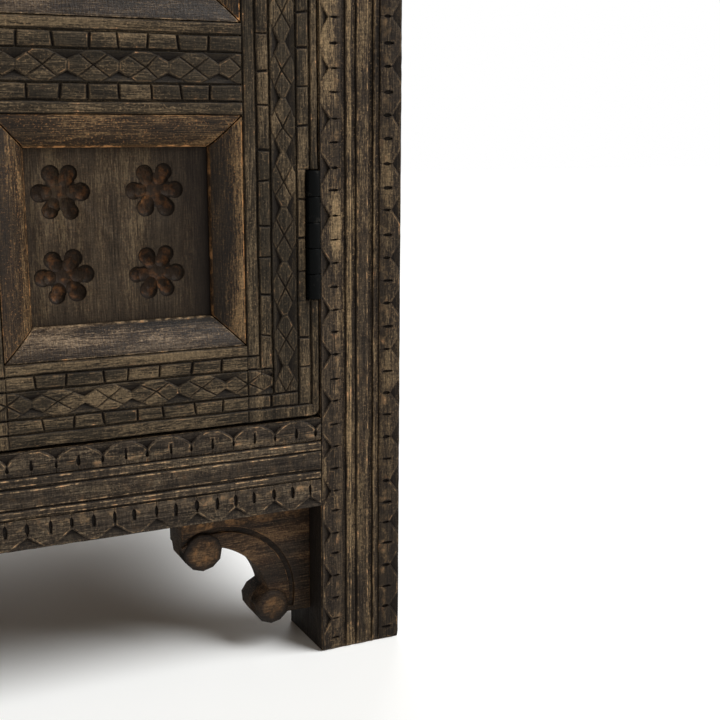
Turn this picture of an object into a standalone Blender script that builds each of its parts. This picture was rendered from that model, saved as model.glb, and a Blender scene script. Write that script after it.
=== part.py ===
"""A carved hardwood nightstand: a post and rail case with two panelled doors on butt hinges.

Metres, +Z up. The front faces -Y, and the origin is on the floor under the middle of the top board.
"""

import math

import bmesh
import bpy
from mathutils import Vector

# Overall sizes
WIDTH = 0.610
DEPTH = 0.406
HEIGHT = 0.6545
CLEARANCE = 0.0003

# Top board, and how far it reaches past the case
TOP_THICK = 0.030
TOP_UPPER_ROUND = 0.005
TOP_UPPER_STEPS = 2
TOP_LOWER_ROUND = 0.012
TOP_LOWER_STEPS = 3
SIDE_OVERHANG = 0.0175
FRONT_OVERHANG = 0.020
BACK_OVERHANG = 0.005

# Grooves that part the carved bands
GROOVE_WIDTH = 0.0024
GROOVE_DEPTH = 0.0020

# Posts: the bands on a front post, from its inner edge out, make up its width
POST_INNER_TEETH = 0.0152
POST_FILLET = 0.0070
POST_FLAT = 0.0113
POST_BEAD = 0.0045
POST_OUTER_TEETH = 0.0160
POST_DEPTH = 0.0540

# Apron and frieze: the bands, from the bottom up, make up their height
FOOT_HEIGHT = 0.0975
APRON_LOWER_TEETH = 0.0180
APRON_LOWER_FILLET = 0.0055
APRON_FLAT = 0.0123
APRON_UPPER_FILLET = 0.0064
APRON_UPPER_TEETH = 0.0143
FRONT_RAIL_THICK = 0.044

# Side and back frames
FRAME_RAIL_THICK = 0.024
FRAME_INSET = 0.005
FRAME_PANEL_THICK = 0.008
FRAME_TONGUE = 0.008
CASE_TENON_THICK = 0.010
CASE_TENON_LENGTH = 0.020
CASE_TENON_SHOULDER = 0.012

# Boards and battens inside the case
BOTTOM_THICK = 0.012
SHELF_THICK = 0.014
SHELF_HEIGHT = 0.352
CLEAT_THICK = 0.018
CLEAT_HEIGHT = 0.020
STOP_HEIGHT = 0.012
STOP_GAP = 0.001

# Doors
DOOR_THICK = 0.024
DOOR_GAP = 0.0012
DOOR_END_GAP = 0.0018
MEETING_GAP = 0.003
STILE_INNER_FILLET = 0.0079
STILE_BRICKS = 0.0083
STILE_DIAMONDS = 0.0162
STILE_OUTER_FILLET = 0.0054
MID_FILLET = 0.0070
MID_BRICKS = 0.0094
MID_DIAMONDS = 0.0174
END_INNER_FILLET = 0.0066
END_BRICKS = 0.0082
END_DIAMONDS = 0.0159
END_OUTER_FILLET = 0.0081
DOOR_TENON_THICK = 0.0095
DOOR_TENON_LENGTH = 0.025
DOOR_TENON_SHOULDER = 0.010

# Door panels, their mouldings and rosettes
PANEL_RECESS = 0.0135
PANEL_THICK = 0.0065
PANEL_TONGUE = 0.006
MOULDING_WIDTH = 0.0175
MOULDING_REVEAL = 0.0008
MOULDING_LIP = 0.003
MOULDING_BELLY = 0.0014
MOULDING_STEPS = 4
ROSETTE_SPACING_X = 0.0525
ROSETTE_SPACING_Z = 0.0465
ROSETTE_SHIFT_IN = 0.006
ROSETTE_SHIFT_UP = 0.0014
ROSETTE_RADIUS = 0.0165
PETAL_RADIUS = 0.0058
PETALS = 6
PETAL_POINTS = 4
PETAL_SHY = 4
ROSETTE_DEPTH = 0.003

# Butt hinges
HINGE_LENGTH = 0.076
HINGE_END = 0.0722
BARREL_RADIUS = 0.0043
PIN_RADIUS = 0.0022
LEAF_THICK = 0.002
LEAF_WIDTH = 0.022
LEAF_SINK = 0.0002
KNUCKLES = 5
ROUND_SIDES = 12

# Knobs
KNOB_ROSE_RADIUS = 0.0085
KNOB_ROSE_THICK = 0.002
KNOB_NECK_RADIUS = 0.0045
KNOB_NECK_LENGTH = 0.0066
KNOB_RADIUS = 0.0110
KNOB_FLARE_LENGTH = 0.0038
KNOB_SHOULDER_RADIUS = 0.0099
KNOB_BELLY_LENGTH = 0.0044
KNOB_CROWN_RADIUS = 0.0055
KNOB_CROWN_LENGTH = 0.0022
KNOB_SHANK_RADIUS = 0.0028
KNOB_SHANK_COVER = 0.002

# C-scroll brackets, measured from the corner between apron and post
BRACKET_SETBACK = 0.020
BRACKET_THICK = 0.026
SCROLL_CENTRE_OUT = 0.0735
SCROLL_CENTRE_DOWN = 0.0683
SCROLL_RADIUS = 0.0460
SCROLL_TURN = (72, 14)
SCROLL_STEPS = 8
UPPER_VOLUTE = 0.0123
UPPER_VOLUTE_LEAN = 5
UPPER_VOLUTE_START = 172
LOWER_VOLUTE = 0.0117
LOWER_VOLUTE_LEAN = 10
LOWER_VOLUTE_END = 331
VOLUTE_STEPS = 9
LIP_REACH = 0.0010
LIP_DROP = 0.0232
BLOCK_WIDTH = 0.0160
BLOCK_DROP = 0.0745
COVE_CENTRE_OUT = 0.0611
COVE_CENTRE_DOWN = 0.0610
COVE_RADIUS = 0.0464
COVE_WIDTH = 0.0045
COVE_TURN = (124, -12)
COVE_STEPS = 10

# Worked out from the sizes above
POST_BANDS = (POST_INNER_TEETH, POST_FILLET, POST_FLAT, POST_BEAD, POST_OUTER_TEETH)
APRON_BANDS = (
    APRON_LOWER_TEETH,
    APRON_LOWER_FILLET,
    APRON_FLAT,
    APRON_UPPER_FILLET,
    APRON_UPPER_TEETH,
)
STILE_BANDS = (
    STILE_INNER_FILLET,
    STILE_BRICKS,
    STILE_DIAMONDS,
    STILE_BRICKS,
    STILE_OUTER_FILLET,
)
MID_BANDS = (MID_FILLET, MID_BRICKS, MID_DIAMONDS, MID_BRICKS, MID_FILLET)
BOTTOM_BANDS = (
    END_OUTER_FILLET,
    END_BRICKS,
    END_DIAMONDS,
    END_BRICKS,
    END_INNER_FILLET,
)
TOP_BANDS = BOTTOM_BANDS[::-1]
POST_WIDTH = sum(POST_BANDS)
APRON_HEIGHT = sum(APRON_BANDS)
STILE_WIDTH = sum(STILE_BANDS)

FRONT = -DEPTH / 2 + FRONT_OVERHANG
BACK = DEPTH / 2 - BACK_OVERHANG
HALF_CASE = WIDTH / 2 - SIDE_OVERHANG
POST_FACE = HALF_CASE - POST_WIDTH
FRONT_POST_BACK = FRONT + POST_DEPTH
REAR_POST_FRONT = BACK - POST_DEPTH
CASE_TOP = HEIGHT - TOP_THICK - CLEARANCE

APRON_TOP = FOOT_HEIGHT + APRON_HEIGHT
FRIEZE_BOTTOM = CASE_TOP - APRON_HEIGHT
FRAME_OUT = HALF_CASE - FRAME_INSET
FRAME_MID = FRAME_OUT - FRAME_RAIL_THICK / 2
FRAME_IN = FRAME_OUT - FRAME_RAIL_THICK
SIDE_PANEL_IN = FRAME_MID - FRAME_PANEL_THICK / 2
BACK_OUT = BACK - FRAME_INSET
BACK_MID = BACK_OUT - FRAME_RAIL_THICK / 2
BACK_PANEL_IN = BACK_MID - FRAME_PANEL_THICK / 2
FRONT_TENON_MID = FRONT + FRONT_RAIL_THICK / 2

DOOR_BOTTOM = APRON_TOP + DOOR_END_GAP
DOOR_TOP = FRIEZE_BOTTOM - DOOR_END_GAP
DOOR_EDGE = POST_FACE - DOOR_GAP
DOOR_BACK = FRONT + DOOR_THICK
BOTTOM_RAIL_TOP = DOOR_BOTTOM + sum(BOTTOM_BANDS)
TOP_RAIL_BOTTOM = DOOR_TOP - sum(TOP_BANDS)
MID_RAIL_BOTTOM = (BOTTOM_RAIL_TOP + TOP_RAIL_BOTTOM - sum(MID_BANDS)) / 2
MID_RAIL_TOP = MID_RAIL_BOTTOM + sum(MID_BANDS)
PANEL_FRONT = FRONT + PANEL_RECESS
PANEL_BACK = PANEL_FRONT + PANEL_THICK
PANEL_SLOT = PANEL_TONGUE + CLEARANCE
DOOR_TENON_MID = (PANEL_FRONT + PANEL_BACK) / 2
SHANK_END = DOOR_TENON_MID - DOOR_TENON_THICK / 2 - CLEARANCE - KNOB_SHANK_COVER

AXIS_X = POST_FACE - CLEARANCE - BARREL_RADIUS
SIDES = {"left": -1, "right": 1}


def along_x(a, b, t):
    """Outline in (y, z), carried along x."""
    return (t, a, b)


def along_y(a, b, t):
    """Outline in (x, z), carried along y."""
    return (a, t, b)


def along_z(a, b, t):
    """Outline in (x, y), carried along z."""
    return (a, b, t)


def add_prism(bm, outline, place, low, high):
    """Adds a closed prism to a bmesh: an outline of (a, b) points carried from low to high."""
    ends = [[bm.verts.new(place(a, b, t)) for a, b in outline] for t in (low, high)]
    faces = [bm.faces.new(ends[0]), bm.faces.new(ends[1])]
    for i in range(len(outline)):
        j = (i + 1) % len(outline)
        faces.append(bm.faces.new((ends[0][i], ends[0][j], ends[1][j], ends[1][i])))
    bmesh.ops.recalc_face_normals(bm, faces=faces)


def add_block(bm, xs, ys, zs):
    outline = [(xs[0], ys[0]), (xs[1], ys[0]), (xs[1], ys[1]), (xs[0], ys[1])]
    add_prism(bm, outline, along_z, *zs)


def add_turned(bm, profile, place, centre):
    """Adds a closed turned body: (radius, along) pairs spun about an axis through centre."""
    turns = [math.tau * (i + 0.5) / ROUND_SIDES for i in range(ROUND_SIDES)]
    rings = []
    for radius, t in profile:
        ring = [(centre[0] + radius * math.cos(a), centre[1] + radius * math.sin(a)) for a in turns]
        rings.append([bm.verts.new(place(a, b, t)) for a, b in ring])
    faces = [bm.faces.new(rings[0]), bm.faces.new(rings[-1])]
    for near, far in zip(rings, rings[1:]):
        for i in range(ROUND_SIDES):
            j = (i + 1) % ROUND_SIDES
            faces.append(bm.faces.new((near[i], near[j], far[j], far[i])))
    bmesh.ops.recalc_face_normals(bm, faces=faces)


def block(xs, ys, zs):
    bm = bmesh.new()
    add_block(bm, xs, ys, zs)
    return bm


def finish(name, colour, roughness, metallic=0.0):
    """A Principled material of one colour."""
    made = bpy.data.materials.new(name)
    made.use_nodes = True
    shader = made.node_tree.nodes["Principled BSDF"]
    shader.inputs["Base Color"].default_value = (*colour, 1.0)
    shader.inputs["Roughness"].default_value = roughness
    shader.inputs["Metallic"].default_value = metallic
    return made


def solid(name, bm, look, parent=None):
    """A named object from a bmesh in world coordinates, with its origin on its parent's."""
    origin = parent.location.copy() if parent else Vector()
    bmesh.ops.translate(bm, verts=bm.verts, vec=-origin)
    mesh = bpy.data.meshes.new(name)
    bm.to_mesh(mesh)
    bm.free()
    mesh.materials.append(look)
    made = bpy.data.objects.new(name, mesh)
    bpy.context.collection.objects.link(made)
    made.parent = parent
    return made


def work(piece, bm, operation):
    """Cuts a piece by the bodies in bm, or joins them to it."""
    tool = solid(piece.name + "_" + operation.lower(), bm, piece.data.materials[0], piece.parent)
    tool.hide_render = True
    tool.display_type = "WIRE"
    step = piece.modifiers.new(operation.title(), "BOOLEAN")
    step.operation = operation
    step.solver = "EXACT"
    step.object = tool


def shaded(piece):
    """Smooth sides with sharp rims, for a round piece."""
    piece.data.shade_smooth()
    piece.data.set_sharp_from_angle(angle=math.radians(40))


def arc(centre, radius, start, end, steps):
    """Points along an arc, with its angles in degrees."""
    turns = [math.radians(start + (end - start) * i / steps) for i in range(steps + 1)]
    return [(centre[0] + radius * math.cos(a), centre[1] + radius * math.sin(a)) for a in turns]


def grooved_face(bands):
    """Points (across, deep) along a carved face, with a V groove between one band and the next."""
    points = [(0.0, 0.0)]
    across = 0.0
    for band in bands[:-1]:
        across += band
        points.append((across - GROOVE_WIDTH / 2, 0.0))
        points.append((across, GROOVE_DEPTH))
        points.append((across + GROOVE_WIDTH / 2, 0.0))
    points.append((sum(bands), 0.0))
    return points


def spread(middle, thick):
    return (middle - thick / 2, middle + thick / 2)


def grown(span, by):
    return (span[0] - by, span[1] + by)


def signed(span, side):
    return (side * span[0], side * span[1])


def rail_heights():
    """Heights of the lower and upper rails of the case."""
    return ((FOOT_HEIGHT, APRON_TOP), (FRIEZE_BOTTOM, CASE_TOP))


# Case


def front_posts(wood):
    for name, side in SIDES.items():
        outline = [(side * (POST_FACE + a), FRONT + d) for a, d in grooved_face(POST_BANDS)]
        outline.append((side * HALF_CASE, FRONT_POST_BACK))
        outline.append((side * POST_FACE, FRONT_POST_BACK))
        bm = bmesh.new()
        add_prism(bm, outline, along_z, 0.0, CASE_TOP)
        post = solid("front_post_" + name, bm, wood)
        cuts = bmesh.new()
        for heights in rail_heights():
            tall = grown(heights, CLEARANCE - CASE_TENON_SHOULDER)
            into_post = signed((POST_FACE - CLEARANCE, POST_FACE + CASE_TENON_LENGTH + CLEARANCE), side)
            thick = grown(spread(FRONT_TENON_MID, CASE_TENON_THICK), CLEARANCE)
            add_block(cuts, into_post, thick, tall)
            side_mortise(cuts, side, (FRONT_POST_BACK - CASE_TENON_LENGTH, FRONT_POST_BACK), tall)
        side_groove(cuts, side, (FRONT_POST_BACK - FRAME_TONGUE, FRONT_POST_BACK))
        work(post, cuts, "DIFFERENCE")


def rear_posts(wood):
    for name, side in SIDES.items():
        bm = block(signed((POST_FACE, HALF_CASE), side), (REAR_POST_FRONT, BACK), (0.0, CASE_TOP))
        post = solid("rear_post_" + name, bm, wood)
        cuts = bmesh.new()
        for heights in rail_heights():
            tall = grown(heights, CLEARANCE - CASE_TENON_SHOULDER)
            into_post = signed((POST_FACE - CLEARANCE, POST_FACE + CASE_TENON_LENGTH + CLEARANCE), side)
            add_block(cuts, into_post, grown(spread(BACK_MID, CASE_TENON_THICK), CLEARANCE), tall)
            side_mortise(cuts, side, (REAR_POST_FRONT, REAR_POST_FRONT + CASE_TENON_LENGTH), tall)
        side_groove(cuts, side, (REAR_POST_FRONT, REAR_POST_FRONT + FRAME_TONGUE))
        into_post = signed((POST_FACE - CLEARANCE, POST_FACE + FRAME_TONGUE + CLEARANCE), side)
        thick = grown(spread(BACK_MID, FRAME_PANEL_THICK), CLEARANCE)
        add_block(cuts, into_post, thick, panel_groove_heights())
        work(post, cuts, "DIFFERENCE")


def side_mortise(bm, side, ys, zs):
    xs = signed(grown(spread(FRAME_MID, CASE_TENON_THICK), CLEARANCE), side)
    add_block(bm, xs, grown(ys, CLEARANCE), zs)


def side_groove(bm, side, ys):
    xs = signed(grown(spread(FRAME_MID, FRAME_PANEL_THICK), CLEARANCE), side)
    add_block(bm, xs, grown(ys, CLEARANCE), panel_groove_heights())


def panel_groove_heights():
    return grown((APRON_TOP, FRIEZE_BOTTOM), FRAME_TONGUE + CLEARANCE)


def front_rails(wood):
    """Apron and frieze, tenoned into the front posts."""
    for name, (low, high) in zip(("apron_front", "frieze_front"), rail_heights()):
        outline = [(FRONT + d, low + a) for a, d in grooved_face(APRON_BANDS)]
        outline.append((FRONT + FRONT_RAIL_THICK, high))
        outline.append((FRONT + FRONT_RAIL_THICK, low))
        bm = bmesh.new()
        add_prism(bm, outline, along_x, CLEARANCE - POST_FACE, POST_FACE - CLEARANCE)
        rail = solid(name, bm, wood)
        tenons = bmesh.new()
        thick = spread(FRONT_TENON_MID, CASE_TENON_THICK)
        reach = POST_FACE + CASE_TENON_LENGTH
        add_block(tenons, (-reach, reach), thick, grown((low, high), -CASE_TENON_SHOULDER))
        work(rail, tenons, "UNION")


def grooved_rail(low, high, middle, slot_on_top):
    """Outline (across, z) of a frame rail with a slot for its panel in one edge."""
    faces = spread(middle, FRAME_RAIL_THICK)
    slot = grown(spread(middle, FRAME_PANEL_THICK), CLEARANCE)
    deep = FRAME_TONGUE + CLEARANCE
    plain, slotted, inward = (low, high, -deep) if slot_on_top else (high, low, deep)
    return [
        (faces[0], plain),
        (faces[1], plain),
        (faces[1], slotted),
        (slot[1], slotted),
        (slot[1], slotted + inward),
        (slot[0], slotted + inward),
        (slot[0], slotted),
        (faces[0], slotted),
    ]


def frame_rails(wood):
    """Side and back rails, tenoned into the posts."""
    for level, (low, high) in zip(("lower", "upper"), rail_heights()):
        tall = grown((low, high), -CASE_TENON_SHOULDER)
        for name, side in SIDES.items():
            bm = bmesh.new()
            outline = grooved_rail(low, high, side * FRAME_MID, level == "lower")
            add_prism(bm, outline, along_y, FRONT_POST_BACK + CLEARANCE, REAR_POST_FRONT - CLEARANCE)
            rail = solid("side_rail_" + level + "_" + name, bm, wood)
            tenons = bmesh.new()
            ys = (FRONT_POST_BACK - CASE_TENON_LENGTH, REAR_POST_FRONT + CASE_TENON_LENGTH)
            add_block(tenons, signed(spread(FRAME_MID, CASE_TENON_THICK), side), ys, tall)
            work(rail, tenons, "UNION")
        bm = bmesh.new()
        outline = grooved_rail(low, high, BACK_MID, level == "lower")
        add_prism(bm, outline, along_x, CLEARANCE - POST_FACE, POST_FACE - CLEARANCE)
        rail = solid("back_rail_" + level, bm, wood)
        tenons = bmesh.new()
        reach = POST_FACE + CASE_TENON_LENGTH
        add_block(tenons, (-reach, reach), spread(BACK_MID, CASE_TENON_THICK), tall)
        work(rail, tenons, "UNION")


def frame_panels(wood):
    tall = grown((APRON_TOP, FRIEZE_BOTTOM), FRAME_TONGUE)
    for name, side in SIDES.items():
        xs = signed(spread(FRAME_MID, FRAME_PANEL_THICK), side)
        ys = grown((FRONT_POST_BACK, REAR_POST_FRONT), FRAME_TONGUE)
        solid("side_panel_" + name, block(xs, ys, tall), wood)
    reach = POST_FACE + FRAME_TONGUE
    solid("back_panel", block((-reach, reach), spread(BACK_MID, FRAME_PANEL_THICK), tall), wood)


def bottom_board(wood):
    """Lies on the lower rails, notched round the four posts; its front edge stops the doors."""
    wide = SIDE_PANEL_IN - CLEARANCE
    narrow = POST_FACE - CLEARANCE
    front = DOOR_BACK + STOP_GAP
    front_notch = FRONT_POST_BACK + CLEARANCE
    rear_notch = REAR_POST_FRONT - CLEARANCE
    back = BACK_PANEL_IN - CLEARANCE
    half = [(narrow, front), (narrow, front_notch), (wide, front_notch)]
    half += [(wide, rear_notch), (narrow, rear_notch), (narrow, back)]
    bm = bmesh.new()
    outline = half + [(-x, y) for x, y in reversed(half)]
    low = APRON_TOP + CLEARANCE
    add_prism(bm, outline, along_z, low, low + BOTTOM_THICK)
    solid("bottom_board", bm, wood)


def shelf_and_cleats(wood):
    reach = SIDE_PANEL_IN - CLEARANCE
    ys = (FRONT_POST_BACK + CLEARANCE, REAR_POST_FRONT - CLEARANCE)
    solid("shelf", block((-reach, reach), ys, (SHELF_HEIGHT, SHELF_HEIGHT + SHELF_THICK)), wood)
    high = SHELF_HEIGHT - CLEARANCE
    for name, side in SIDES.items():
        xs = signed((reach - CLEAT_THICK, reach), side)
        solid("shelf_cleat_" + name, block(xs, ys, (high - CLEAT_HEIGHT, high)), wood)


def top_battens(wood):
    """Battens inside the upper side rails, which hold the top board."""
    ys = (FRONT_POST_BACK + CLEARANCE, REAR_POST_FRONT - CLEARANCE)
    reach = FRAME_IN - CLEARANCE
    for name, side in SIDES.items():
        xs = signed((reach - CLEAT_THICK, reach), side)
        solid("top_batten_" + name, block(xs, ys, (CASE_TOP - CLEAT_HEIGHT, CASE_TOP)), wood)


def door_stop(wood):
    """A strip under the frieze, behind the doors."""
    reach = POST_FACE - CLEARANCE
    high = FRIEZE_BOTTOM - CLEARANCE
    ys = (DOOR_BACK + STOP_GAP, FRONT + FRONT_RAIL_THICK)
    solid("door_stop", block((-reach, reach), ys, (high - STOP_HEIGHT, high)), wood)


def top_board(wood):
    low = HEIGHT - TOP_THICK
    bm = block((-WIDTH / 2, WIDTH / 2), (-DEPTH / 2, DEPTH / 2), (low, HEIGHT))
    rounds = ((HEIGHT, TOP_UPPER_ROUND, TOP_UPPER_STEPS), (low, TOP_LOWER_ROUND, TOP_LOWER_STEPS))
    for height, size, steps in rounds:
        rim = [e for e in bm.edges if all(abs(v.co.z - height) < CLEARANCE for v in e.verts)]
        bmesh.ops.bevel(bm, geom=rim, offset=size, segments=steps, profile=0.5, affect="EDGES")
    solid("top_board", bm, wood)


def scroll_outline():
    """Half of the pair: (out from the post, up from the apron's underside), all within the corner."""
    centre = (-SCROLL_CENTRE_OUT, -SCROLL_CENTRE_DOWN)
    inner = arc(centre, SCROLL_RADIUS, *SCROLL_TURN, SCROLL_STEPS)
    cusp = math.radians(UPPER_VOLUTE_LEAN)
    upper = (inner[0][0] - UPPER_VOLUTE * math.cos(cusp), inner[0][1] - UPPER_VOLUTE * math.sin(cusp))
    lean = math.radians(LOWER_VOLUTE_LEAN)
    lower = (inner[-1][0] + LOWER_VOLUTE * math.sin(lean), inner[-1][1] - LOWER_VOLUTE * math.cos(lean))
    lip = upper[0] - UPPER_VOLUTE - LIP_REACH
    points = [(-CLEARANCE, -CLEARANCE), (lip, -CLEARANCE), (lip, -LIP_DROP)]
    points += arc(upper, UPPER_VOLUTE, UPPER_VOLUTE_START, 360 + UPPER_VOLUTE_LEAN, VOLUTE_STEPS)[:-1]
    points += inner
    points += arc(lower, LOWER_VOLUTE, 90 + LOWER_VOLUTE_LEAN, LOWER_VOLUTE_END, VOLUTE_STEPS)[1:]
    points += [(-BLOCK_WIDTH, -BLOCK_DROP), (-CLEARANCE, -BLOCK_DROP)]
    return points


def scroll_brackets(wood):
    """A C-scroll in each corner between apron and post, with a cove behind its arc."""
    front = FRONT + BRACKET_SETBACK
    centre = (-COVE_CENTRE_OUT, -COVE_CENTRE_DOWN)
    band = arc(centre, COVE_RADIUS, *COVE_TURN, COVE_STEPS)
    band += arc(centre, COVE_RADIUS + COVE_WIDTH, *COVE_TURN[::-1], COVE_STEPS)
    for name, side in SIDES.items():
        bm = bmesh.new()
        outline = [(side * (POST_FACE + a), FOOT_HEIGHT + b) for a, b in scroll_outline()]
        add_prism(bm, outline, along_y, front, front + BRACKET_THICK)
        bracket = solid("scroll_bracket_" + name, bm, wood)
        cut = bmesh.new()
        outline = [(side * (POST_FACE + a), FOOT_HEIGHT + b) for a, b in band]
        add_prism(cut, outline, along_y, front - GROOVE_DEPTH, front + GROOVE_DEPTH)
        work(bracket, cut, "DIFFERENCE")


# Doors


def door_rails():
    """Each rail's name, its bands from the bottom up, its bottom, and which edges hold a panel."""
    return (
        ("bottom_rail", BOTTOM_BANDS, DOOR_BOTTOM, (False, True)),
        ("mid_rail", MID_BANDS, MID_RAIL_BOTTOM, (True, True)),
        ("top_rail", TOP_BANDS, TOP_RAIL_BOTTOM, (True, False)),
    )


def panel_openings():
    return (
        ("lower", (BOTTOM_RAIL_TOP, MID_RAIL_BOTTOM)),
        ("upper", (MID_RAIL_TOP, TOP_RAIL_BOTTOM)),
    )


def tenon_heights(bands, low):
    return grown((low, low + sum(bands)), -DOOR_TENON_SHOULDER)


def stile(name, inner, outward, wood, axis):
    """An upright of a door, from its inner edge outward, slotted for panels and mortised for rails."""
    outline = [(inner + outward * a, FRONT + d) for a, d in grooved_face(STILE_BANDS)]
    slot = grown((PANEL_FRONT, PANEL_BACK), CLEARANCE)
    outline.append((inner + outward * STILE_WIDTH, DOOR_BACK))
    outline.append((inner, DOOR_BACK))
    outline.append((inner, slot[1]))
    outline.append((inner + outward * PANEL_SLOT, slot[1]))
    outline.append((inner + outward * PANEL_SLOT, slot[0]))
    outline.append((inner, slot[0]))
    bm = bmesh.new()
    add_prism(bm, outline, along_z, DOOR_BOTTOM, DOOR_TOP)
    made = solid(name, bm, wood, axis)
    mortises = bmesh.new()
    xs = (inner - outward * CLEARANCE, inner + outward * (DOOR_TENON_LENGTH + CLEARANCE))
    ys = grown(spread(DOOR_TENON_MID, DOOR_TENON_THICK), CLEARANCE)
    for _, bands, low, _ in door_rails():
        add_block(mortises, xs, ys, grown(tenon_heights(bands, low), CLEARANCE))
    work(made, mortises, "DIFFERENCE")
    return made


def rail_outline(bands, low, slots):
    """Outline (y, z) of a door rail with a carved front and a slot for each panel that it holds."""
    high = low + sum(bands)
    slot = grown((PANEL_FRONT, PANEL_BACK), CLEARANCE)
    outline = [(FRONT + d, low + a) for a, d in grooved_face(bands)]
    if slots[1]:
        deep = high - PANEL_SLOT
        outline += [(slot[0], high), (slot[0], deep), (slot[1], deep), (slot[1], high)]
    outline += [(DOOR_BACK, high), (DOOR_BACK, low)]
    if slots[0]:
        deep = low + PANEL_SLOT
        outline += [(slot[1], low), (slot[1], deep), (slot[0], deep), (slot[0], low)]
    return outline


def moulding(name, xs, zs, wood, axis):
    """A mitred frame with a bellied slope, from the door's face in to the panel."""
    across = [CLEARANCE + MOULDING_WIDTH * i / MOULDING_STEPS for i in range(MOULDING_STEPS + 1)]
    fall = PANEL_RECESS - MOULDING_LIP - MOULDING_REVEAL
    profile = []
    for i, inset in enumerate(across):
        t = i / MOULDING_STEPS
        profile.append((inset, MOULDING_REVEAL + fall * t - MOULDING_BELLY * 4 * t * (1 - t)))
    seat = PANEL_RECESS - CLEARANCE
    profile += [(across[-1], seat), (across[0], seat)]
    lowest = min(deep for _, deep in profile)
    profile = [(inset, deep - min(lowest, 0.0)) for inset, deep in profile]
    bm = bmesh.new()
    loops = []
    for inset, deep in profile:
        (x0, x1), (z0, z1) = grown(xs, -inset), grown(zs, -inset)
        corners = ((x0, z0), (x1, z0), (x1, z1), (x0, z1))
        loops.append([bm.verts.new((x, FRONT + deep, z)) for x, z in corners])
    for near, far in zip(loops, loops[1:] + loops[:1]):
        for i in range(4):
            j = (i + 1) % 4
            bm.faces.new((near[i], near[j], far[j], far[i]))
    bmesh.ops.recalc_face_normals(bm, faces=bm.faces)
    solid(name, bm, wood, axis)


def rosette(centre):
    """Outline of six round petals about a centre."""
    points = []
    reach = ROSETTE_RADIUS - PETAL_RADIUS
    step = 360 / PETALS
    half_way = reach * math.sin(math.radians(step / 2))
    meet = math.degrees(math.acos(min(1.0, half_way / PETAL_RADIUS)))
    sweep = 90 + step / 2 - meet - PETAL_SHY
    for petal in range(PETALS):
        turn = step * petal
        middle = math.radians(turn)
        tip = (centre[0] + reach * math.cos(middle), centre[1] + reach * math.sin(middle))
        points += arc(tip, PETAL_RADIUS, turn - sweep, turn + sweep, PETAL_POINTS)
    return points


def panel(name, xs, zs, side, wood, axis):
    """A board held in the frame's slots, with four rosettes set a little toward the meeting stile."""
    bm = block(grown(xs, PANEL_TONGUE), (PANEL_FRONT, PANEL_BACK), grown(zs, PANEL_TONGUE))
    made = solid(name, bm, wood, axis)
    cuts = bmesh.new()
    middle = (sum(xs) / 2 - side * ROSETTE_SHIFT_IN, sum(zs) / 2 + ROSETTE_SHIFT_UP)
    ys = (PANEL_FRONT - ROSETTE_DEPTH, PANEL_FRONT + ROSETTE_DEPTH)
    for x in spread(middle[0], ROSETTE_SPACING_X):
        for z in spread(middle[1], ROSETTE_SPACING_Z):
            add_prism(cuts, rosette((x, z)), along_y, *ys)
    work(made, cuts, "DIFFERENCE")


def door(name, side, wood, panel_wood, axis):
    outer = side * (DOOR_EDGE - STILE_WIDTH)
    meeting = side * (MEETING_GAP / 2 + STILE_WIDTH)
    hinge_stile = stile(name + "_hinge_stile", outer, side, wood, axis)
    notches = bmesh.new()
    xs = (side * (AXIS_X - BARREL_RADIUS - CLEARANCE), side * POST_FACE)
    for _, low in hinge_places():
        zs = grown((low, low + HINGE_LENGTH), CLEARANCE)
        add_block(notches, xs, (FRONT - BARREL_RADIUS, DOOR_BACK + BARREL_RADIUS), zs)
    work(hinge_stile, notches, "DIFFERENCE")
    meeting_stile = stile(name + "_meeting_stile", meeting, -side, wood, axis)
    bore = bmesh.new()
    shank = KNOB_SHANK_RADIUS + CLEARANCE
    ends = (FRONT - CLEARANCE, SHANK_END + CLEARANCE)
    add_turned(bore, [(shank, y) for y in ends], along_y, knob_centre(side))
    work(meeting_stile, bore, "DIFFERENCE")
    between = sorted((outer, meeting))
    for rail_name, bands, low, slots in door_rails():
        bm = bmesh.new()
        add_prism(bm, rail_outline(bands, low, slots), along_x, *grown(between, -CLEARANCE))
        rail = solid(name + "_" + rail_name, bm, wood, axis)
        tenons = bmesh.new()
        thick = spread(DOOR_TENON_MID, DOOR_TENON_THICK)
        add_block(tenons, grown(between, DOOR_TENON_LENGTH), thick, tenon_heights(bands, low))
        work(rail, tenons, "UNION")
    for level, heights in panel_openings():
        panel(name + "_panel_" + level, between, heights, side, panel_wood, axis)
        moulding(name + "_moulding_" + level, between, heights, wood, axis)


def knob_centre(side):
    return (side * (MEETING_GAP + STILE_WIDTH) / 2, (DOOR_BOTTOM + DOOR_TOP) / 2)


def knob(name, side, steel, axis):
    """A turned knob on a rose, with its shank in the meeting stile."""
    face = FRONT - CLEARANCE
    rose = face - KNOB_ROSE_THICK
    neck = rose - KNOB_NECK_LENGTH
    widest = neck - KNOB_FLARE_LENGTH
    shoulder = widest - KNOB_BELLY_LENGTH
    profile = [
        (KNOB_SHANK_RADIUS, SHANK_END),
        (KNOB_SHANK_RADIUS, face),
        (KNOB_ROSE_RADIUS, face),
        (KNOB_ROSE_RADIUS, rose),
        (KNOB_NECK_RADIUS, rose),
        (KNOB_NECK_RADIUS, neck),
        (KNOB_RADIUS, widest),
        (KNOB_SHOULDER_RADIUS, shoulder),
        (KNOB_CROWN_RADIUS, shoulder - KNOB_CROWN_LENGTH),
    ]
    bm = bmesh.new()
    add_turned(bm, profile, along_y, knob_centre(side))
    shaded(solid(name, bm, steel, axis))


# Hinges


def hinge_places():
    """Each hinge's name and the height of its lower end."""
    return (
        ("lower", DOOR_BOTTOM + HINGE_END),
        ("upper", DOOR_TOP - HINGE_END - HINGE_LENGTH),
    )


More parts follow.
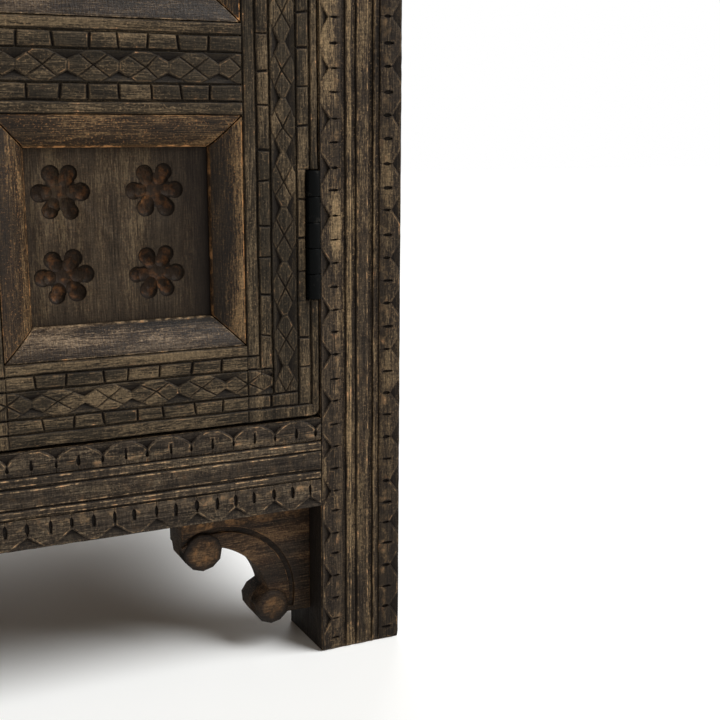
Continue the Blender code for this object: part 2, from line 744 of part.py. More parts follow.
def knuckle_spans(low):
    pitch = HINGE_LENGTH / KNUCKLES
    return [
        (low + pitch * i + CLEARANCE / 2, low + pitch * (i + 1) - CLEARANCE / 2)
        for i in range(KNUCKLES)
    ]


def leaf(name, low, own, plate_xs, side, steel, axis):
    """A hinge leaf: a plate with a tab to each of its own knuckles, bored for the pin."""
    spans = knuckle_spans(low)
    root = FRONT + BARREL_RADIUS + CLEARANCE
    outline = [(FRONT + LEAF_WIDTH, low), (root, low)]
    for i, span in enumerate(spans):
        if i % 2 == own:
            tab = grown(span, -CLEARANCE)
            outline += [(root, tab[0]), (FRONT, tab[0]), (FRONT, tab[1]), (root, tab[1])]
    outline += [(root, low + HINGE_LENGTH), (FRONT + LEAF_WIDTH, low + HINGE_LENGTH)]
    bm = bmesh.new()
    add_prism(bm, outline, along_x, *signed(plate_xs, side))
    made = solid(name, bm, steel, axis)
    centre = (side * AXIS_X, FRONT)
    barrels = bmesh.new()
    for i, span in enumerate(spans):
        if i % 2 == own:
            add_turned(barrels, [(BARREL_RADIUS, z) for z in span], along_z, centre)
    work(made, barrels, "UNION")
    bore = bmesh.new()
    ends = grown((low, low + HINGE_LENGTH), BARREL_RADIUS)
    add_turned(bore, [(PIN_RADIUS + CLEARANCE, z) for z in ends], along_z, centre)
    work(made, bore, "DIFFERENCE")


def hinges(name, side, steel, axis):
    outer = AXIS_X + BARREL_RADIUS - LEAF_SINK
    inner = AXIS_X - BARREL_RADIUS + LEAF_SINK
    for level, low in hinge_places():
        label = name + "_hinge_" + level
        leaf(label + "_post_leaf", low, 0, (outer - LEAF_THICK, outer), side, steel, None)
        leaf(label + "_door_leaf", low, 1, (inner, inner + LEAF_THICK), side, steel, axis)
        bm = bmesh.new()
        centre = (side * AXIS_X, FRONT)
        add_turned(bm, [(PIN_RADIUS, low), (PIN_RADIUS, low + HINGE_LENGTH)], along_z, centre)
        shaded(solid(label + "_pin", bm, steel))


def door_axis(name, side):
    """An empty on a door's hinge axis, which carries the door."""
    axis = bpy.data.objects.new(name + "_axis", None)
    axis.location = (side * AXIS_X, FRONT, DOOR_BOTTOM)
    bpy.context.collection.objects.link(axis)
    return axis


def build():
    for old in list(bpy.data.objects):
        bpy.data.objects.remove(old)
    carved = finish("carved_stained_hardwood", (0.072, 0.056, 0.043), 0.62)
    panel_wood = finish("stained_panel_wood", (0.078, 0.060, 0.046), 0.60)
    inner_wood = finish("plain_case_wood", (0.105, 0.075, 0.052), 0.70)
    steel = finish("black_painted_steel", (0.012, 0.012, 0.013), 0.45, 0.6)
    front_posts(carved)
    rear_posts(carved)
    front_rails(carved)
    frame_rails(carved)
    frame_panels(panel_wood)
    bottom_board(inner_wood)
    shelf_and_cleats(inner_wood)
    top_battens(inner_wood)
    door_stop(inner_wood)
    top_board(carved)
    scroll_brackets(carved)
    for word, side in SIDES.items():
        axis = door_axis(word + "_door", side)
        door(word + "_door", side, carved, panel_wood, axis)
        knob(word + "_door_knob", side, steel, axis)
        hinges(word, side, steel, axis)


build()
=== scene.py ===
import math
import random

import bmesh
import bpy
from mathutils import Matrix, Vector, noise


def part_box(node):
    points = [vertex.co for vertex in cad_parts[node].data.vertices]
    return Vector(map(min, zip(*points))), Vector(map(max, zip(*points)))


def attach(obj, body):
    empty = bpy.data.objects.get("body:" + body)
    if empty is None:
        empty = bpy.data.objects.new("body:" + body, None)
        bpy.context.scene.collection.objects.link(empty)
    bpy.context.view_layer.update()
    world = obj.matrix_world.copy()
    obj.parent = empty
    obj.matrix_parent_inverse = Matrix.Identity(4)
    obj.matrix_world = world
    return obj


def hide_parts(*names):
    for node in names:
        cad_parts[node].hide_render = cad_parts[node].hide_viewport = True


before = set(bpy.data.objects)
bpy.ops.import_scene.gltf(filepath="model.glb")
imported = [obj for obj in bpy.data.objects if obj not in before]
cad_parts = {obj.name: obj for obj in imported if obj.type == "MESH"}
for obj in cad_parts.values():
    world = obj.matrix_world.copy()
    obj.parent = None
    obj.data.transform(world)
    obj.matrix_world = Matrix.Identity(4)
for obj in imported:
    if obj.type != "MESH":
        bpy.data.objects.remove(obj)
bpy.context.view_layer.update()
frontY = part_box("front_post_right")[0].y
noise.seed_set(4)  # the hand cut edges come out the same each time
pair = (("left", -1), ("right", 1))
places = [(word, level) for word in ("right", "left") for level in ("lower", "upper")]
# how near counts as the same corner, the same face, the same line and the same cut
near = {"corner": 0.00001, "face": 0.00002, "line": 0.0001, "cut": 0.0002}
degrees = {"smooth": 32, "flat": 0.5, "arris": 30, "rim": 25}
angles = {key: math.radians(value) for key, value in degrees.items()}


# Selecting and shaping

def activate(*pieces):
    bpy.ops.object.select_all(action="DESELECT")
    for piece in pieces:
        piece.select_set(True)
    bpy.context.view_layer.objects.active = pieces[0]


def openEdit(piece, mode):
    activate(piece)
    bpy.ops.object.mode_set(mode="EDIT")
    bpy.ops.mesh.select_mode(type=mode)
    bpy.ops.mesh.select_all(action="DESELECT")


def closeEdit():
    bpy.ops.object.mode_set(mode="OBJECT")


def selectAll():
    bpy.ops.mesh.select_all(action="SELECT")


def flatten(y):  # what is selected goes to one depth
    bpy.ops.transform.resize(value=(1.0, 0.0, 1.0), center_override=(0.0, y, 0.0))


def facesOut():
    selectAll()
    bpy.ops.mesh.normals_make_consistent(inside=False)


def bisectAll(point, normal, **settings):
    selectAll()
    bpy.ops.mesh.bisect(plane_co=point, plane_no=normal, **settings)


def choose(piece, parts, test):  # parts is verts, edges or faces
    bpy.ops.mesh.select_all(action="DESELECT")
    bm = bmesh.from_edit_mesh(piece.data)
    for part in getattr(bm, parts):
        if test(part):
            part.select_set(True)
    bmesh.update_edit_mesh(piece.data)


def opened(piece, *keys):  # the mesh in edit mode and these layers of its corners
    bm = bmesh.from_edit_mesh(piece.data)
    return (bm, *(bm.verts.layers.float[key] for key in keys))


def done(piece):
    bmesh.update_edit_mesh(piece.data)
    closeEdit()


def added(name, make, **settings):  # a new basic shape
    bpy.ops.object.select_all(action="DESELECT")
    make(**settings)
    piece = bpy.context.object
    piece.name = name
    return piece


def ringOf(name, outline, fill):
    ring = added(name, bpy.ops.mesh.primitive_circle_add, vertices=len(outline), radius=0.01, fill_type=fill)
    for vert, place in zip(ring.data.vertices, outline):
        vert.co = place
    return ring


def drawnOut(name, outline, push):  # a bar, left in edit mode
    piece = ringOf(name, outline, "NGON")
    openEdit(piece, "FACE")
    selectAll()
    bpy.ops.mesh.extrude_region_move(TRANSFORM_OT_translate={"value": push})
    return piece


def boxOf(name, low, high):
    block = added(name, bpy.ops.mesh.primitive_cube_add, size=1.0, location=(low + high) / 2,
                  scale=high - low)
    settle(block)
    return block


def linked(name, mesh):
    piece = bpy.data.objects.new(name, mesh)
    bpy.context.scene.collection.objects.link(piece)
    return piece


def settle(piece):  # place, turn and scale go into the mesh
    activate(piece)
    bpy.ops.object.transform_apply(location=True, rotation=True, scale=True)


def cutAway(piece, cutter):
    activate(piece)
    cut = piece.modifiers.new("cut", "BOOLEAN")
    cut.operation = "DIFFERENCE"
    cut.solver = "EXACT"
    cut.object = cutter
    bpy.ops.object.modifier_apply(modifier=cut.name)
    bpy.data.objects.remove(cutter)


def addWearLayers(piece):
    for layer in ("wear", "depth", "rub"):  # worn edges, dirt down in the cuts and painted shade on some pieces, and rubbed faces with a painted sheen on moulding crowns
        if layer not in piece.data.attributes:
            piece.data.attributes.new(layer, "FLOAT", "POINT")


def isArris(edge, angle):
    return len(edge.link_faces) == 2 and edge.calc_face_angle(0.0) > angle


def easeEdges(piece, width):  # rounds the arrises and marks their crest as worn
    addWearLayers(piece)
    openEdit(piece, "EDGE")
    bm = bmesh.from_edit_mesh(piece.data)
    planes = [(face.normal.copy(), face.verts[0].co.copy()) for face in bm.faces]
    choose(piece, "edges", lambda e: isArris(e, angles["arris"]))
    bpy.ops.mesh.bevel(offset=width, segments=2, profile=0.6, affect="EDGES", clamp_overlap=True)
    bm, wear = opened(piece, "wear")
    for vert in bm.verts:
        if not any(abs(normal.dot(vert.co - point)) < near["face"] for normal, point in planes):
            vert[wear] = 1.0
    done(piece)


def soilAndShade(piece, cuts, amount):  # the depth layer where amount gives some, dirt on some pieces and painted shade on others, with new corners along the cuts
    openEdit(piece, "VERT")
    for point, normal in cuts:
        bisectAll(point, normal)
    bm, depth = opened(piece, "depth")
    for vert in bm.verts:
        vert[depth] = max(vert[depth], amount(vert.co))
    done(piece)


def soilChosen(piece):
    bm, depth = opened(piece, "depth")
    for vert in bm.verts:
        if vert.select:
            vert[depth] = 1.0
    bmesh.update_edit_mesh(piece.data)


def nodeCopy(node, name):  # a merged copy of a CAD solid, to be worked further
    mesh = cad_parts[node].data.copy()
    mesh.name = name
    mesh.materials.clear()
    piece = linked(name, mesh)
    addWearLayers(piece)
    activate(piece)
    bpy.ops.mesh.customdata_custom_splitnormals_clear()
    openEdit(piece, "VERT")
    selectAll()
    bpy.ops.mesh.remove_doubles(threshold=near["corner"])
    bpy.ops.mesh.dissolve_limited(angle_limit=angles["flat"])
    closeEdit()
    return piece


def pieceName(node):
    first, *others = node.split("_")
    return first + "".join(word.title() for word in others)


def joined(name, pieces):
    activate(*pieces)
    bpy.ops.object.join()
    pieces[0].name = name
    pieces[0].data.name = name
    return pieces[0]


def handOver(piece, material, body, node):
    activate(piece)
    bpy.ops.object.shade_smooth_by_angle(angle=angles["smooth"])
    if material:
        piece.data.materials.clear()
        piece.data.materials.append(material)
    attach(piece, body)
    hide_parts(node)


def copyAt(node, model, middle):  # a copy of the model, whose middle moves to the node's
    copy = linked(pieceName(node), model.data.copy())
    copy.location = (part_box(node)[0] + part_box(node)[1]) / 2 - middle
    settle(copy)
    return copy


# Materials

def hexColour(text):  # sRGB hex to linear
    parts = [int(text[i:i + 2], 16) / 255 for i in (0, 2, 4)]
    linear = [p / 12.92 if p <= 0.04045 else ((p + 0.055) / 1.055) ** 2.4 for p in parts]
    return (*linear, 1.0)


def grey(value):
    return (value, value, value, 1.0)


def addNode(tree, kind, settings, out=0):  # a setting is a value, or the output that feeds the input
    node = tree.nodes.new("ShaderNode" + kind)
    for key, value in settings.items():
        if isinstance(value, bpy.types.NodeSocket):
            tree.links.new(value, node.inputs[key])
        elif key == "stops":
            ramp = node.color_ramp.elements
            while len(ramp) < len(value):
                ramp.new(0.5)
            for element, (place, colour) in zip(ramp, value):
                element.position = place
                element.color = colour
        elif isinstance(key, int) or key in node.inputs:
            node.inputs[key].default_value = value
        else:
            setattr(node, key, value)
    return node.outputs[out]


def newMaterial(name):
    made = bpy.data.materials.new(name)
    made.use_nodes = True
    return made, made.node_tree, made.node_tree.nodes["Principled BSDF"]


teak = {
    "noises": {  # width of a mark, how it runs, and detail; coarser than real fibres so that it shows
        "fibre": (0.0007, "long", 2.0),
        "figure": (0.008, "long", 2.0),  # growth bands
        "fleck": (0.0006, "short", 2.0),  # open pores, and the fibres rubbed pale between them
        "cloud": (0.018, "short", 3.0),  # patches where the stain took darker or was rubbed through
        "scrape": (0.0009, "cross", 2.0),  # a scraper's marks, which run across the grain
        "nick": (0.005, "even", 3.0),  # bare places on an arris
        "grit": (0.0011, "even", 1.0),  # torn fibres and specks of bare wood
    },
    # scale along the grain and beside it
    "runs": {"long": (0.05, 1.0), "short": (0.22, 1.0), "cross": (1.0, 0.14), "even": (1.0, 1.0)},
    "rough": 0.6,  # of every noise
    # where on its noise each change begins and ends
    "bodyAt": (0.37, 0.50, 0.65),
    "warmAt": (0.45, 0.68),
    "poreAt": (0.33, 0.46),
    "shadeAt": (0.36, 0.64),
    "patchAt": (0.42, 0.66),
    "rubAt": (0.54, 0.74),
    "markAt": (0.34, 0.66),
    "speckAt": (0.62, 0.74),
    "whereAt": (0.40, 0.60),
    "nickAt": (0.48, 0.64, 0.70, 0.73),
    "bareAt": (0.60, 0.72),
    "dullAt": (0.3, 0.7),
    # how much each does
    "figureShare": 0.34,
    "warmth": 0.5,
    "patch": (-0.6, 1.0),
    "lift": 0.16,
    "leastSpecks": 0.3,
    "leastNicks": 0.05,
    "fleckRelief": 0.5,
    "scrapeRelief": 0.3,
    "relief": 0.0008,
}


def agedTeak(name, grain, tones):
    # Old teak, chisel cut, stained nearly black and waxed: a dull open grain in brown greys, rubbed to
    # tan flecks on the high places, bare here and there on the arrises, dirt left in the cuts, and painted
    # shade and sheen on some pieces.
    made, tree, shader = newMaterial(name)
    tint = {key: hexColour(value) for key, value in tones.items() if isinstance(value, str)}

    def ranged(source, span, low, high):
        return addNode(tree, "MapRange", {"Value": source, "From Min": span[0], "From Max": span[1],
                                          "To Min": low, "To Max": high})

    def mix(share, first, second):
        return addNode(tree, "MixRGB", {"Fac": share, "Color1": first, "Color2": second})

    def times(first, second):
        return addNode(tree, "Math", {"operation": "MULTIPLY", 0: first, 1: second})

    def scaled(colour, share):
        return addNode(tree, "VectorMath", {"operation": "SCALE", "Vector": colour, "Scale": share})

    def ramp(source, stops, colours):
        return addNode(tree, "ValToRGB", {"stops": list(zip(stops, colours)), "Fac": source})

    def layer(key):
        return addNode(tree, "Attribute", {"attribute_name": key}, "Fac")

    place = addNode(tree, "TexCoord", {}, "Object")
    runs = {}
    for key, (along, beside) in teak["runs"].items():
        scale = tuple(along if axis == grain else beside for axis in "XYZ")
        runs[key] = addNode(tree, "Mapping", {"Vector": place, "Scale": scale})
    noises = {}
    for key, (width, run, detail) in teak["noises"].items():
        noises[key] = addNode(tree, "TexNoise", {"Vector": runs[run], "Scale": 1 / width, "Detail": detail,
                                                 "Roughness": teak["rough"]}, "Fac")
    cloud = noises["cloud"]
    mixed = mix(teak["figureShare"], noises["fibre"], noises["figure"])
    body = ramp(mixed, teak["bodyAt"], (tint["dark"], tint["mid"], tint["light"]))
    body = mix(ranged(cloud, teak["warmAt"], 0.0, teak["warmth"]), body, tint["warm"])
    pores = ranged(noises["fleck"], teak["poreAt"], tones["pore"], 1.0)
    body = scaled(body, times(ranged(cloud, teak["shadeAt"], tones["low"], tones["high"]), pores))
    # the more a place is rubbed, the more of its flecks turn tan; a moulding's crown is rubbed this way as a
    # painted sheen
    patch = ranged(cloud, teak["patchAt"], *teak["patch"])
    rubbing = addNode(tree, "Math", {"operation": "ADD", 0: patch, 1: layer("rub")})
    streak = mix(0.5, noises["fibre"], noises["fleck"])
    lifted = addNode(tree, "Math", {"operation": "MULTIPLY_ADD", 0: rubbing, 1: teak["lift"], 2: streak})
    body = mix(ranged(lifted, teak["rubAt"], 0.0, tones["rub"]), body, tint["rubbed"])
    for key in ("scrape", "grit"):
        body = scaled(body, ranged(noises[key], teak["markAt"], 1.0 - tones[key], 1.0 + tones[key]))
    # the depth layer darkens towards the dirt colour: dirt in the cuts, and painted shade on the posts'
    # inner sides, the panels' edges, the mouldings and the volutes
    depth = layer("depth")
    body = mix(depth, body, tint["dirt"])
    # specks of bare wood where it is rubbed and not under dirt
    specks = ranged(noises["grit"], teak["speckAt"], 0.0, tones["speck"])
    clear = addNode(tree, "Math", {"operation": "SUBTRACT", "use_clamp": True, 0: 1.0, 1: depth})
    for share in (ranged(cloud, teak["whereAt"], teak["leastSpecks"], 1.0), clear):
        specks = times(specks, share)
    body = mix(specks, body, tint["worn"])
    nicks = [grey(share) for share in (teak["leastNicks"], tones["edge"], tones["edge"], 1.0)]
    worn = times(layer("wear"), ramp(noises["nick"], teak["nickAt"], nicks))
    body = mix(worn, body, ramp(noises["nick"], teak["bareAt"], (tint["worn"], tint["bare"])))
    tree.links.new(body, shader.inputs["Base Color"])
    tree.links.new(ranged(mixed, teak["dullAt"], tones["dull"], tones["sheen"]), shader.inputs["Roughness"])
    relief = mix(teak["fleckRelief"], mixed, noises["fleck"])
    relief = mix(teak["scrapeRelief"], relief, noises["scrape"])
    bump = addNode(tree, "Bump", {"Strength": tones["grainDepth"], "Distance": teak["relief"],
                                  "Height": relief})
    tree.links.new(bump, shader.inputs["Normal"])
    shader.inputs["Specular IOR Level"].default_value = tones["gloss"]
    shader.inputs["IOR"].default_value = 1.5
    return made


# colours, then how strong each mark is
carvedTones = {
    "dark": "17130f", "mid": "332a22", "light": "564939", "warm": "3b2d21", "rubbed": "887355",
    "worn": "ab8c66", "bare": "cd9b70", "dirt": "120d09", "pore": 0.5, "low": 0.72, "high": 1.12,
    "rub": 0.8, "edge": 0.5, "dull": 0.75, "sheen": 0.52, "scrape": 0.26, "grit": 0.22, "speck": 0.45,
    "grainDepth": 0.7, "gloss": 0.12}
doorTones = dict(
    carvedTones, dark="1b160f", mid="2d261c", light="463c2e", warm="33281b", rubbed="705f48",
    worn="947a5a", rub=0.7, edge=0.32, scrape=0.18, grit=0.20, speck=0.4)
panelTones = dict(
    carvedTones, dark="201911", mid="352b20", light="483c2e", warm="382a1d", rubbed="6a5b44", worn="7a4f2e",
    bare="a06a3c", dirt="120b06", rub=0.5, pore=0.7, low=0.86, high=1.08, scrape=0.12, grit=0.20, speck=0.2,
    grainDepth=0.45)
mouldingTones = dict(
    carvedTones, dark="150f08", mid="34271a", light="604b32", warm="4c331d", rubbed="9c7e58", worn="a9794c",
    bare="d29a66", dirt="120b05", rub=0.7, pore=0.4, low=0.6, high=1.16, edge=0.7, dull=0.62, sheen=0.38,
    scrape=0.20, grit=0.28, speck=0.8, gloss=0.18)
# the sill faces up to the light: its paler rubbed and worn colours are a painted sheen
sheenSillTones = dict(
    mouldingTones, rubbed="a68f74", worn="b89c7a", pore=0.3, low=0.45, high=1.2, speck=0.6, grainDepth=1.2)
scrollTones = dict(
    carvedTones, dark="150f0a", mid="2c2219", light="46382a", warm="4a3220", rubbed="735a3e", worn="7b5a39",
    bare="a2744a", rub=0.6, pore=0.7, edge=0.6, scrape=0.14, grit=0.26, speck=0.35, grainDepth=0.45,
    gloss=0.16)
apronTones = dict(
    carvedTones, mid="352d25", light="554a3d", warm="382d23", rubbed="7c6d57", worn="a88c6a", rub=0.5,
    low=0.9, high=1.04, edge=0.8, scrape=0.46, speck=0.3)
caseTones = dict(carvedTones, dark="3a2f25", mid="594737", light="74604a", warm="5d4733", rub=0.3)
carvedUpright = agedTeak("agedTeakUpright", "Z", carvedTones)
carvedLevel = agedTeak("agedTeakLevel", "X", carvedTones)
apronLevel = agedTeak("scrapedTeakLevel", "X", apronTones)
carvedDeep = agedTeak("agedTeakDeep", "Y", carvedTones)
doorUpright = agedTeak("darkTeakUpright", "Z", doorTones)
doorLevel = agedTeak("darkTeakLevel", "X", doorTones)
panelUpright = agedTeak("agedTeakPanel", "Z", panelTones)
waxedUpright = agedTeak("waxedTeakUpright", "Z", mouldingTones)
waxedLevel = agedTeak("waxedTeakLevel", "X", mouldingTones)
waxedSheenSill = agedTeak("waxedTeakSill", "X", sheenSillTones)
scrollLevel = agedTeak("scrollTeakLevel", "X", scrollTones)
caseLevel = agedTeak("plainTeakLevel", "X", caseTones)
caseDeep = agedTeak("plainTeakDeep", "Y", caseTones)

steel = {"tone": "050606", "scuffed": "302e2a", "grit": 0.0022, "scuff": 0.009, "gloss": 0.05,
         "scuffAt": (0.60, 0.78), "dullAt": (0.3, 0.7), "dull": (0.36, 0.55), "pitting": 0.25,
         "pitDepth": 0.0002}
# Mild steel brushed with black paint: an even dark satin skin, slightly pitted, dulled where it is handled.
blackSteel, tree, shader = newMaterial("blackPaintedSteel")
place = addNode(tree, "TexCoord", {}, "Object")
grit = addNode(tree, "TexNoise", {"Vector": place, "Scale": 1 / steel["grit"], "Detail": 3.0}, "Fac")
scuff = addNode(tree, "TexNoise", {"Vector": place, "Scale": 1 / steel["scuff"], "Detail": 5.0,
                                   "Roughness": 0.7}, "Fac")
tints = [hexColour(steel[key]) for key in ("tone", "scuffed")]
bare = addNode(tree, "ValToRGB", {"stops": list(zip(steel["scuffAt"], tints)), "Fac": scuff})
dulls = [grey(share) for share in steel["dull"]]
dull = addNode(tree, "ValToRGB", {"stops": list(zip(steel["dullAt"], dulls)), "Fac": scuff})
pitted = addNode(tree, "Bump", {"Strength": steel["pitting"], "Distance": steel["pitDepth"], "Height": grit})
for key, source in (("Base Color", bare), ("Roughness", dull), ("Normal", pitted)):
    tree.links.new(source, shader.inputs[key])
shader.inputs["Specular IOR Level"].default_value = steel["gloss"]
print("materials mixed")


# Carving: the cells of each band are drawn flat, then cut with insets and lowered lines.
# A cell is (kind, how rubbed, corners).

carving = {
    "grooveDepth": 0.0018,
    "skirt": 0.0030,  # band walls run on below the groove floor
    "ease": 0.0008,
    # of a cell's edge, from the line inwards: width, share of the line's depth that stays, and wear
    "wall": (0.3, 0.1),
    "shoulder": (0.0004, 0.2, 1.0),
    "rim": (0.0004, 0.0, 0.04),
    "narrow": 0.0032,  # a narrower fillet, and the cells between gouges and groove, get smaller shoulders
    "narrowShare": 0.36,
    "line": 0.0008,  # depth of the line along a fillet
    "endLine": 0.0004,  # at the end of a band
    "clipLine": 0.0003,  # where a cell is cut off
    "joint": 0.0009,  # between two bricks and behind the teeth
    "chip": (0.0004, 0.0019, 0.28),  # inset, depth and dirt
    "gouge": (0.0003, 0.0015, 0.85),
    "fullDirt": 0.0009,  # a line this deep holds the most dirt
    "mostDirt": 0.95,
    "mark": 0.010,  # a long line is drawn from points this far apart
    "step": 0.005,  # and a long edge gets a corner this often, so that it can wander
    "shake": (0.00024, 0.004),  # unsteadiness of a hand cut edge, and how long it lasts
    "wave": (0.00022, 0.022),  # rises and hollows left by the plane
    "waveLift": 0.6,
    "sway": (0.0004, 0.024),  # how far a long line wanders
    "swayRow": 7.31,  # each line has a row of the noise to itself
    "edgeGap": 0.0003,
    "jointGap": 0.0001,
    "sliver": 0.0023,  # a smaller cell gets no shoulders
    "crumb": 0.0011,  # a corner this near to where a band ends is left out
    "tiny": 0.00015,  # shorter edges are closed up, and narrower cells left out
    "coreInset": 0.0002,
    "cornerTurns": (0.3, 0.6, 0.9, 1.2),  # of the flats that round a board's corner
}
brickCut = {"shift": 0.13, "lean": 0.0006, "gap": (0.0001, 0.0005), "rub": (-0.2, 0.5)}
diamondCut = {"shift": 0.02, "reach": (0.93, 1.05), "tipShift": 0.0005, "tipLine": 0.0002,
              "half": (0.9, 1.06), "end": (0.0006, 0.0001), "armAt": (0.56, 0.66), "arm": (0.0005, 0.0009),
              "crossShift": (0.0005, 0.0008), "crossLine": 0.0010, "rub": (-0.2, 0.4),
              "middleRub": (-0.2, 0.3)}
toothCut = {"shift": 0.0007, "slim": (0.75, 1.2), "ridgeShift": 0.0004, "late": 0.6, "lateSlim": 0.85,
            "tipSlim": 0.5, "reach": (0.9, 1.1), "tipLine": 0.0001, "half": (0.9, 1.08), "rimLine": 0.0002,
            "ridgeArris": 0.3, "ridgeCrest": 0.4, "lateArris": 0.6, "rub": 0.15}


def corner(across, along, line, floor=0.0, arris=1.0, crest=0.0):
    return (across, along, line, floor, arris, crest)


def about(rnd, reach):  # rnd has a seed for each band, so that no two are cut alike
    return rnd.uniform(-reach, reach)


def sway(along, seed):
    reach, length = carving["sway"]
    return reach * noise.noise(Vector((along / length, seed * carving["swayRow"], 0.5)))


def between(a, b, share):
    return tuple(u + (v - u) * share for u, v in zip(a, b))


def clipCells(cells, low, high):
    kept = []
    for kind, rub, corners in cells:
        for limit, way in ((low, 1), (high, -1)):
            cut = []
            for i, here in enumerate(corners):
                before = corners[i - 1]
                isIn = (here[1] - limit) * way >= 0
                if isIn != ((before[1] - limit) * way >= 0):
                    first, second = sorted((before, here), key=lambda c: c[1])
                    share = (limit - first[1]) / (second[1] - first[1])
                    across, _, line, floor, _, _ = between(first, second, share)
                    cut.append(corner(across, limit, max(line, carving["clipLine"]), floor))
                if isIn:
                    cut.append(here)
            corners = []
            for i, here in enumerate(cut):
                beside = [c for c in (cut[i - 1], cut[(i + 1) % len(cut)]) if c[1] == limit]
                isCrumb = any(math.dist(here[:2], c[:2]) < carving["crumb"] for c in beside)
                if here[1] == limit or not isCrumb:
                    corners.append(here)
        if len(corners) > 2:
            spans = [max(c[i] for c in corners) - min(c[i] for c in corners) for i in (0, 1)]
            if min(spans) > carving["tiny"]:
                isSliver = kind != "gouge" and min(spans) < carving["sliver"]
                kept.append(("plain" if isSliver else kind, rub, corners))
    return kept


def evenMarks(start, end):
    count = max(2, round(abs(end - start) / carving["mark"]))
    return [start + (end - start) * i / count for i in range(count + 1)]


def filletCells(low, high, start, end, rub, seed, arris=1.0):
    edges = []
    for place, own in ((low, seed), (high, seed + 1)):
        edge = []
        for t in evenMarks(start, end):
            line = carving["endLine" if t in (start, end) else "line"]
            edge.append(corner(place + sway(t, own), t, line, 0.0, arris))
        edges.append(edge)
    return [("narrow" if abs(high - low) < carving["narrow"] else "flat", rub, edges[0] + edges[1][::-1])]


def turnedFillet(inner, outer, close, far, mouth, top, radius, rub, seed):
    # runs out from the joint at mouth between close and far, turns the door's corner and goes on to top
    way = 1 if top > far else -1
    ring = [(inner + sway(t, seed), t) for t in evenMarks(top, close)[:-1]] + [(inner, close)]
    ring += [(a, close + sway(a, seed + 1)) for a in evenMarks(inner, mouth)[1:]]
    ring += [(a, far + sway(a, seed + 2) / 2) for a in evenMarks(mouth, outer - radius)[:-1]]
    turns = [math.pi / 2 * i / 5 for i in range(6)]
    ring += [(outer - radius * (1 - math.sin(a)), far + way * radius * (1 - math.cos(a))) for a in turns]
    ring += [(outer + sway(t, seed + 3) / 2, t) for t in evenMarks(far + way * radius, top)[1:]]
    lines = [carving["endLine" if t == top or a == mouth else "line"] for a, t in ring]
    return [("flat", rub, [corner(*place, line) for place, line in zip(ring, lines)])]


def brickCells(low, high, start, end, pitch, seed):
    rnd = random.Random(seed)
    count = max(1, round((end - start) / pitch))
    lines = []
    for i in range(count + 1):
        inside = 0 < i < count
        t = start + (end - start) * i / count + inside * about(rnd, brickCut["shift"]) * pitch
        lean = inside * about(rnd, brickCut["lean"])
        gap = inside * rnd.uniform(*brickCut["gap"])
        line = carving["joint" if inside else "endLine"]
        ends = [(low + sway(t, seed), t - lean), (high + sway(t, seed + 1), t + lean)]
        lines.append([[corner(a, along + way * gap, line) for a, along in ends] for way in (-1, 1)])
    return [("flat", rnd.uniform(*brickCut["rub"]), [*a[1], *b[0][::-1]]) for a, b in zip(lines, lines[1:])]


def diamondCells(low, high, start, end, cut, seed):
    # chips from both edges, tip to tip, and crossed lines between one pair of chips and the next
    rnd = random.Random(seed)
    own = diamondCut
    halves = cut["fit"] * max(1, round(2 * (end - start) / cut["pitch"] / cut["fit"]))
    pitch = 2 * (end - start) / halves
    half = pitch / 2 * cut["base"]
    middle = (low + high) / 2
    marks = [start + pitch * (i - 0.5) + about(rnd, own["shift"]) * pitch for i in range(halves // 2 + 3)]
    rows = []
    for edge, way, reach in ((low, 1, cut["reachLow"]), (high, -1, cut["reachHigh"])):
        chips = []
        for t in marks:
            tip = corner(edge + way * reach * rnd.uniform(*own["reach"]), t + about(rnd, own["tipShift"]),
                         own["tipLine"], carving["chip"][1])
            ends = [corner(edge + sway(t, seed + way), t + s * half * rnd.uniform(*own["half"]), *own["end"])
                    for s in (-1, 1)]
            arms = [corner(*between(tip, e, rnd.uniform(*own["armAt"]))[:2], *own["arm"]) for e in ends]
            chips.append((ends[0], arms[0], tip, arms[1], ends[1]))
        rows.append(chips)
    crossings = []
    for i in range(len(marks) - 1):
        shift = about(rnd, own["crossShift"][1]) if 0 < 2 * i < halves else 0.0
        across = middle + about(rnd, own["crossShift"][0])
        crossings.append(corner(across, start + pitch * i + shift, own["crossLine"]))
    cells = []
    for chips in rows:
        cells += [("chip", 0.0, list(chip)) for chip in chips]
        for crossing, a, b in zip(crossings, chips, chips[1:]):
            cells.append(("flat", rnd.uniform(*own["rub"]), [a[4], a[3], crossing, b[1], b[0]]))
    for i in range(1, len(marks) - 1):
        a, b = rows[0][i], rows[1][i]
        cells.append(("flat", rnd.uniform(*own["middleRub"]), [crossings[i - 1], a[1], a[2], b[2], b[1]]))
        cells.append(("flat", rnd.uniform(*own["middleRub"]), [a[2], a[3], crossings[i], b[3], b[2]]))
    return clipCells(cells, start, end)


